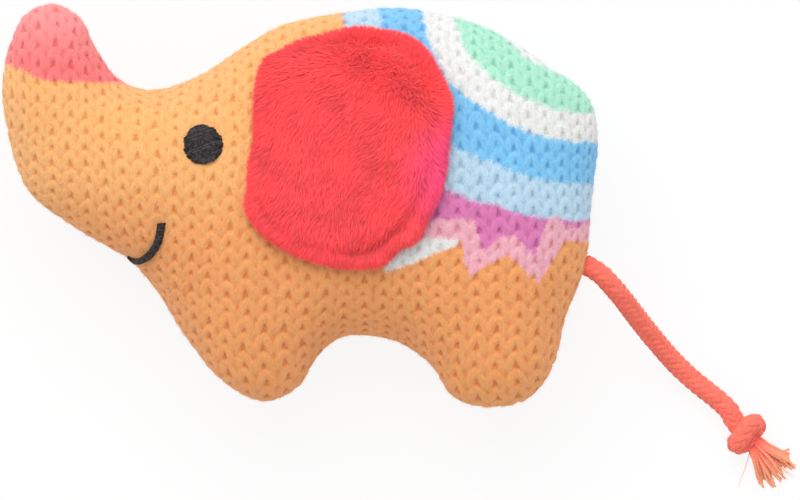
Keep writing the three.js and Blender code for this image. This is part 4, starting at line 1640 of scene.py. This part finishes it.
def make_tassel(middle):
    """The cord's yarns past the knot, fanned out in clumps and paler towards their tips, and a few
    thin loose threads."""
    tail = settings().tail
    random = np.random.default_rng(5)
    clumps, loose = 10, 8
    start = middle + np.array(KNOT_HEADING) * (tail.knot_length / MM * 0.3)
    root_height = start[2] - 0.8
    heading = np.array(FRAY_HEADING)
    left = left_of(heading)
    full = tail.tassel_length / MM
    width = tail.yarn_width / MM
    spreads = np.linspace(-1, 1, clumps) + random.uniform(-0.08, 0.08, clumps)
    longs = random.uniform(0.74, 1.0, clumps)
    bends = random.uniform(-0.9, 0.9, clumps)
    paths, girths, tones = [], [], []
    t = np.linspace(0, 1, 14)
    for number in range(tail.yarn_count):
        clump = number % clumps
        spread = spreads[clump] + random.uniform(-0.13, 0.13)
        long = full * longs[clump] * random.uniform(0.86, 1.04)
        fan = spread * tail.tassel_width / MM / 2 * (0.25 + 0.75 * t)
        fan = fan + bends[clump] * np.sin(2.6 * t) * t
        fan += 0.3 * np.sin(t * random.uniform(6, 11) + random.uniform(0, 6)) * t
        curl = random.uniform(0, 0.7) + (1.2 if number % 9 == 4 else 0)
        path = start + np.outer(long * t - curl * t**4, heading)
        path = path + np.outer(fan + curl * 0.6 * t**5, left)
        base = root_height * random.uniform(0.3, 1.15)
        arch = random.uniform(0.2, 2.0) * np.sin(math.pi * t)
        path[:, 2] = np.maximum(base * (1 - t) ** 0.7 + arch, width / 2)
        paths.append(path)
        girths.append(1 - 0.4 * t**2)
        tones.append(random.uniform(0, 1))
    for _ in range(loose):
        spread = random.uniform(-1.5, 0.9)
        long = full * random.uniform(0.8, 1.1)
        path = start + np.outer(long * t * math.cos(spread * 0.6), heading)
        path += np.outer(long * t * math.sin(spread * 0.6) + 0.5 * np.sin(5 * t) * t, left)
        path[:, 2] = 0.1 + root_height * (1 - t) ** 2
        paths.append(path)
        girths.append(0.2 - 0.08 * t)
        tones.append(0.9)
    made = threads("tail_frayed_end", paths, width, 6, MADE["fray"], tones, girths)
    along = (coordinates(made.data) / MM - start) @ heading / full
    store(made.data, "along", np.clip(along * 1.3 - 0.1, 0, 1))
    return made


# Operators


class TOY_OT_stage(bpy.types.Operator):
    """Set the camera over the toy, the soft light and the pale floor"""

    bl_idname = "elephant_toy.stage"
    bl_label = "Stage"

    def execute(self, context):
        stage = settings().stage
        scene = context.scene
        scene.view_settings.view_transform = "Standard"
        camera = bpy.data.cameras.new("photo_camera")
        camera.lens = stage.lens
        camera.clip_end = 20
        away = stage.view_width * stage.lens / camera.sensor_width
        eye = bpy.data.objects.new("photo_camera", camera)
        eye.location = (stage.view_x, stage.view_y, seam_height() + away)
        scene.collection.objects.link(eye)
        scene.camera = eye
        self.light(stage)
        self.lay_floor()
        return {"FINISHED"}

    def light(self, stage):
        lamp = bpy.data.lights.new("key_light", "SUN")
        lamp.energy = stage.key
        lamp.angle = math.radians(50)
        key = bpy.data.objects.new("key_light", lamp)
        key.rotation_euler = Vector((-0.15, 0.62, 0.77)).to_track_quat("Z", "Y").to_euler()
        bpy.context.scene.collection.objects.link(key)
        world = bpy.data.worlds.new("even_light")
        bpy.context.scene.world = world
        world.use_nodes = True
        tree = world.node_tree
        light = tree.nodes["Background"]
        light.inputs["Color"].default_value = (1, 1, 1, 1)
        light.inputs["Strength"].default_value = stage.sky
        white = add_node(tree, "ShaderNodeBackground", {"Color": (1, 1, 1, 1), "Strength": 1.0})
        seen = seen_rays(tree, "Camera", "Glossy", "Transmission")
        surface = tree.nodes["World Output"].inputs["Surface"]
        blended(seen, out(light), out(white)).feed(surface)

    def lay_floor(self):
        half, height, own_light = 1.5, -0.0002, 0.88
        corners = [(half * x, half * y, height) for x, y in ((-1, -1), (1, -1), (1, 1), (-1, 1))]
        floor = new_object("floor", mesh_of("floor", corners, [(0, 1, 2, 3)]))
        material, tree, shader = new_material("Pale floor")
        shader.inputs["Base Color"].default_value = (0.93, 0.93, 0.93, 1)
        shader.inputs["Roughness"].default_value = 0.9
        glow = add_node(tree, "ShaderNodeEmission", {"Color": (1, 1, 1, 1), "Strength": 1.0})
        part = seen_rays(tree, "Camera", "Glossy") * own_light
        surface = tree.nodes["Material Output"].inputs["Surface"]
        blended(part, out(shader), out(glow)).feed(surface)
        floor.data.materials.append(material)


class TOY_OT_finishes(bpy.types.Operator):
    """Work out the cover's swell, and make the toy's materials and node trees"""

    bl_idname = "elephant_toy.finishes"
    bl_label = "Materials"

    def execute(self, context):
        hues = settings().colours
        MADE.update(
            knit=knit_material(),
            fuzz=fuzz_material(),
            pile=pile_material(),
            backing=backing_material(),
            lining=lining_material(),
            thread=thread_material(),
            cord=toned_material("Coral braided yarn", hues.cord),
            fray=toned_material(
                "Frayed coral yarn", hues.cord, hues.fray, low=1.0, high=1.2, sheen=1.0
            ),
            fill=fill_material(),
            fibres_tree=fibres_tree(),
            threads_tree=threads_tree(),
            swell=Swell(),
        )
        return {"FINISHED"}


class TOY_OT_tail(bpy.types.Operator):
    """Braid the tail cord, tie its knot and fray its end"""

    bl_idname = "elephant_toy.tail"
    bl_label = "Tail"

    def execute(self, context):
        make_tail()
        return {"FINISHED"}


class TOY_OT_cover(bpy.types.Operator):
    """Knit both halves of the cover and raise their fuzz"""

    bl_idname = "elephant_toy.cover"
    bl_label = "Cover"

    def execute(self, context):
        cover = settings().cover
        swell = MADE["swell"]
        pillow = even_pillow(swell, cover.cell / MM)
        for name, side in SIDES.items():
            half = CoverHalf(swell, side, pillow)
            made = new_object(f"{name}_side_cover", half.solid(f"{name}_side_cover"))
            fuzz = new_object(f"{name}_side_fuzz", self.fabric_for_fuzz(made.data, swell))
            grow(fuzz, f"{name}_side_fuzz", MADE["fibres_tree"], {
                "Density": cover.fuzz_per_mm2 / MM**2, "Length": cover.fuzz_length,
                "Width": cover.fuzz_width, "Lift": 0.5, "Stray": 1.0, "Bend": 0.35, "Shortest": 0.4,
                "Floor": FIBRE_FLOOR, "Seed": 1 if side == LEFT else 2, "Material": MADE["fuzz"],
            })
            finish_piece(made, "root", MADE["knit"], COVER_NODES)
            finish_piece(fuzz, "root")
        return {"FINISHED"}

    def fabric_for_fuzz(self, mesh, swell):
        """A copy of the cover for fuzz to stand on: only its outside, and shorter by the seam."""
        copy = mesh.copy()
        stitch = read(copy.attributes["stitch"].data, "value")
        inner_wall, trimmed, trimmed_reach = 0.02, 0.5, 5
        store(copy, "cover", np.where(stitch > inner_wall, 0.3 + 0.7 * stitch, 0))
        store(copy, "flow", np.zeros((len(copy.vertices), 3)), "FLOAT_VECTOR")
        from_seam = coordinates(copy)[:, 2] / MM - swell.seam
        near_seam = np.exp(-((from_seam / trimmed_reach) ** 2))
        store(copy, "length_share", 1 - trimmed * near_seam)
        return copy


class TOY_OT_fill(bpy.types.Operator):
    """Stuff the cover with loose fibre"""

    bl_idname = "elephant_toy.fill"
    bl_label = "Fibre Fill"

    def execute(self, context):
        cell, most_lump, clear_of_wall = 1.8, 0.25, 0.9
        swell = MADE["swell"]
        mesh = even_pillow(swell, cell)
        p = coordinates(mesh)
        x, y, z = p.T
        lumps = np.sin(0.9 * x + 1.3 * z) * np.sin(0.8 * y + 0.5) * most_lump
        deep = settings().cover.wall / MM + clear_of_wall
        place_vertices(mesh, (p - unit(swell.slope(p)) * (deep + lumps)[:, None]) * MM)
        shade_smooth(mesh)
        made = new_object("fibre_fill", mesh)
        finish_piece(made, "root", MADE["fill"], ["stuffing"])
        return {"FINISHED"}


class TOY_OT_ears(bpy.types.Operator):
    """Make both plush ears with their linings"""

    bl_idname = "elephant_toy.ears"
    bl_label = "Ears"

    def execute(self, context):
        for name, side in SIDES.items():
            make_ear(MADE["swell"], name, side)
        return {"FINISHED"}


class TOY_OT_face(bpy.types.Operator):
    """Embroider the eyes and smiles"""

    bl_idname = "elephant_toy.face"
    bl_label = "Face"

    def execute(self, context):
        for name, side in SIDES.items():
            make_eye(MADE["swell"], name, side)
            make_smile(MADE["swell"], name, side)
        return {"FINISHED"}


class TOY_PT_panel(bpy.types.Panel):
    """Lists the toy's steps and settings"""

    bl_idname = "TOY_PT_panel"
    bl_label = "Elephant Toy"
    bl_space_type = "VIEW_3D"
    bl_region_type = "UI"
    bl_category = "Elephant Toy"

    def draw(self, context):
        layout = self.layout
        for step in STEPS:
            layout.operator(step.bl_idname)
        toy = context.scene.elephant_toy
        for name in ("cover", "ears", "face", "tail", "colours", "stage"):
            group = getattr(toy, name)
            box = layout.box()
            box.label(text=name.capitalize())
            for key in group.__annotations__:
                box.prop(group, key)


STEPS = (
    TOY_OT_stage, TOY_OT_finishes, TOY_OT_tail, TOY_OT_cover, TOY_OT_fill, TOY_OT_ears, TOY_OT_face,
)
CLASSES = (
    CoverSettings, EarSettings, FaceSettings, TailSettings, ColourSettings, StageSettings,
    ToySettings, *STEPS, TOY_PT_panel,
)


def register():
    for made in CLASSES:
        bpy.utils.register_class(made)
    bpy.types.Scene.elephant_toy = PointerProperty(type=ToySettings)


def unregister():
    del bpy.types.Scene.elephant_toy
    for made in reversed(CLASSES):
        bpy.utils.unregister_class(made)


def main():
    register()
    for step in STEPS:
        group, name = step.bl_idname.split(".")
        getattr(getattr(bpy.ops, group), name)()


if __name__ == "__main__":
    main()
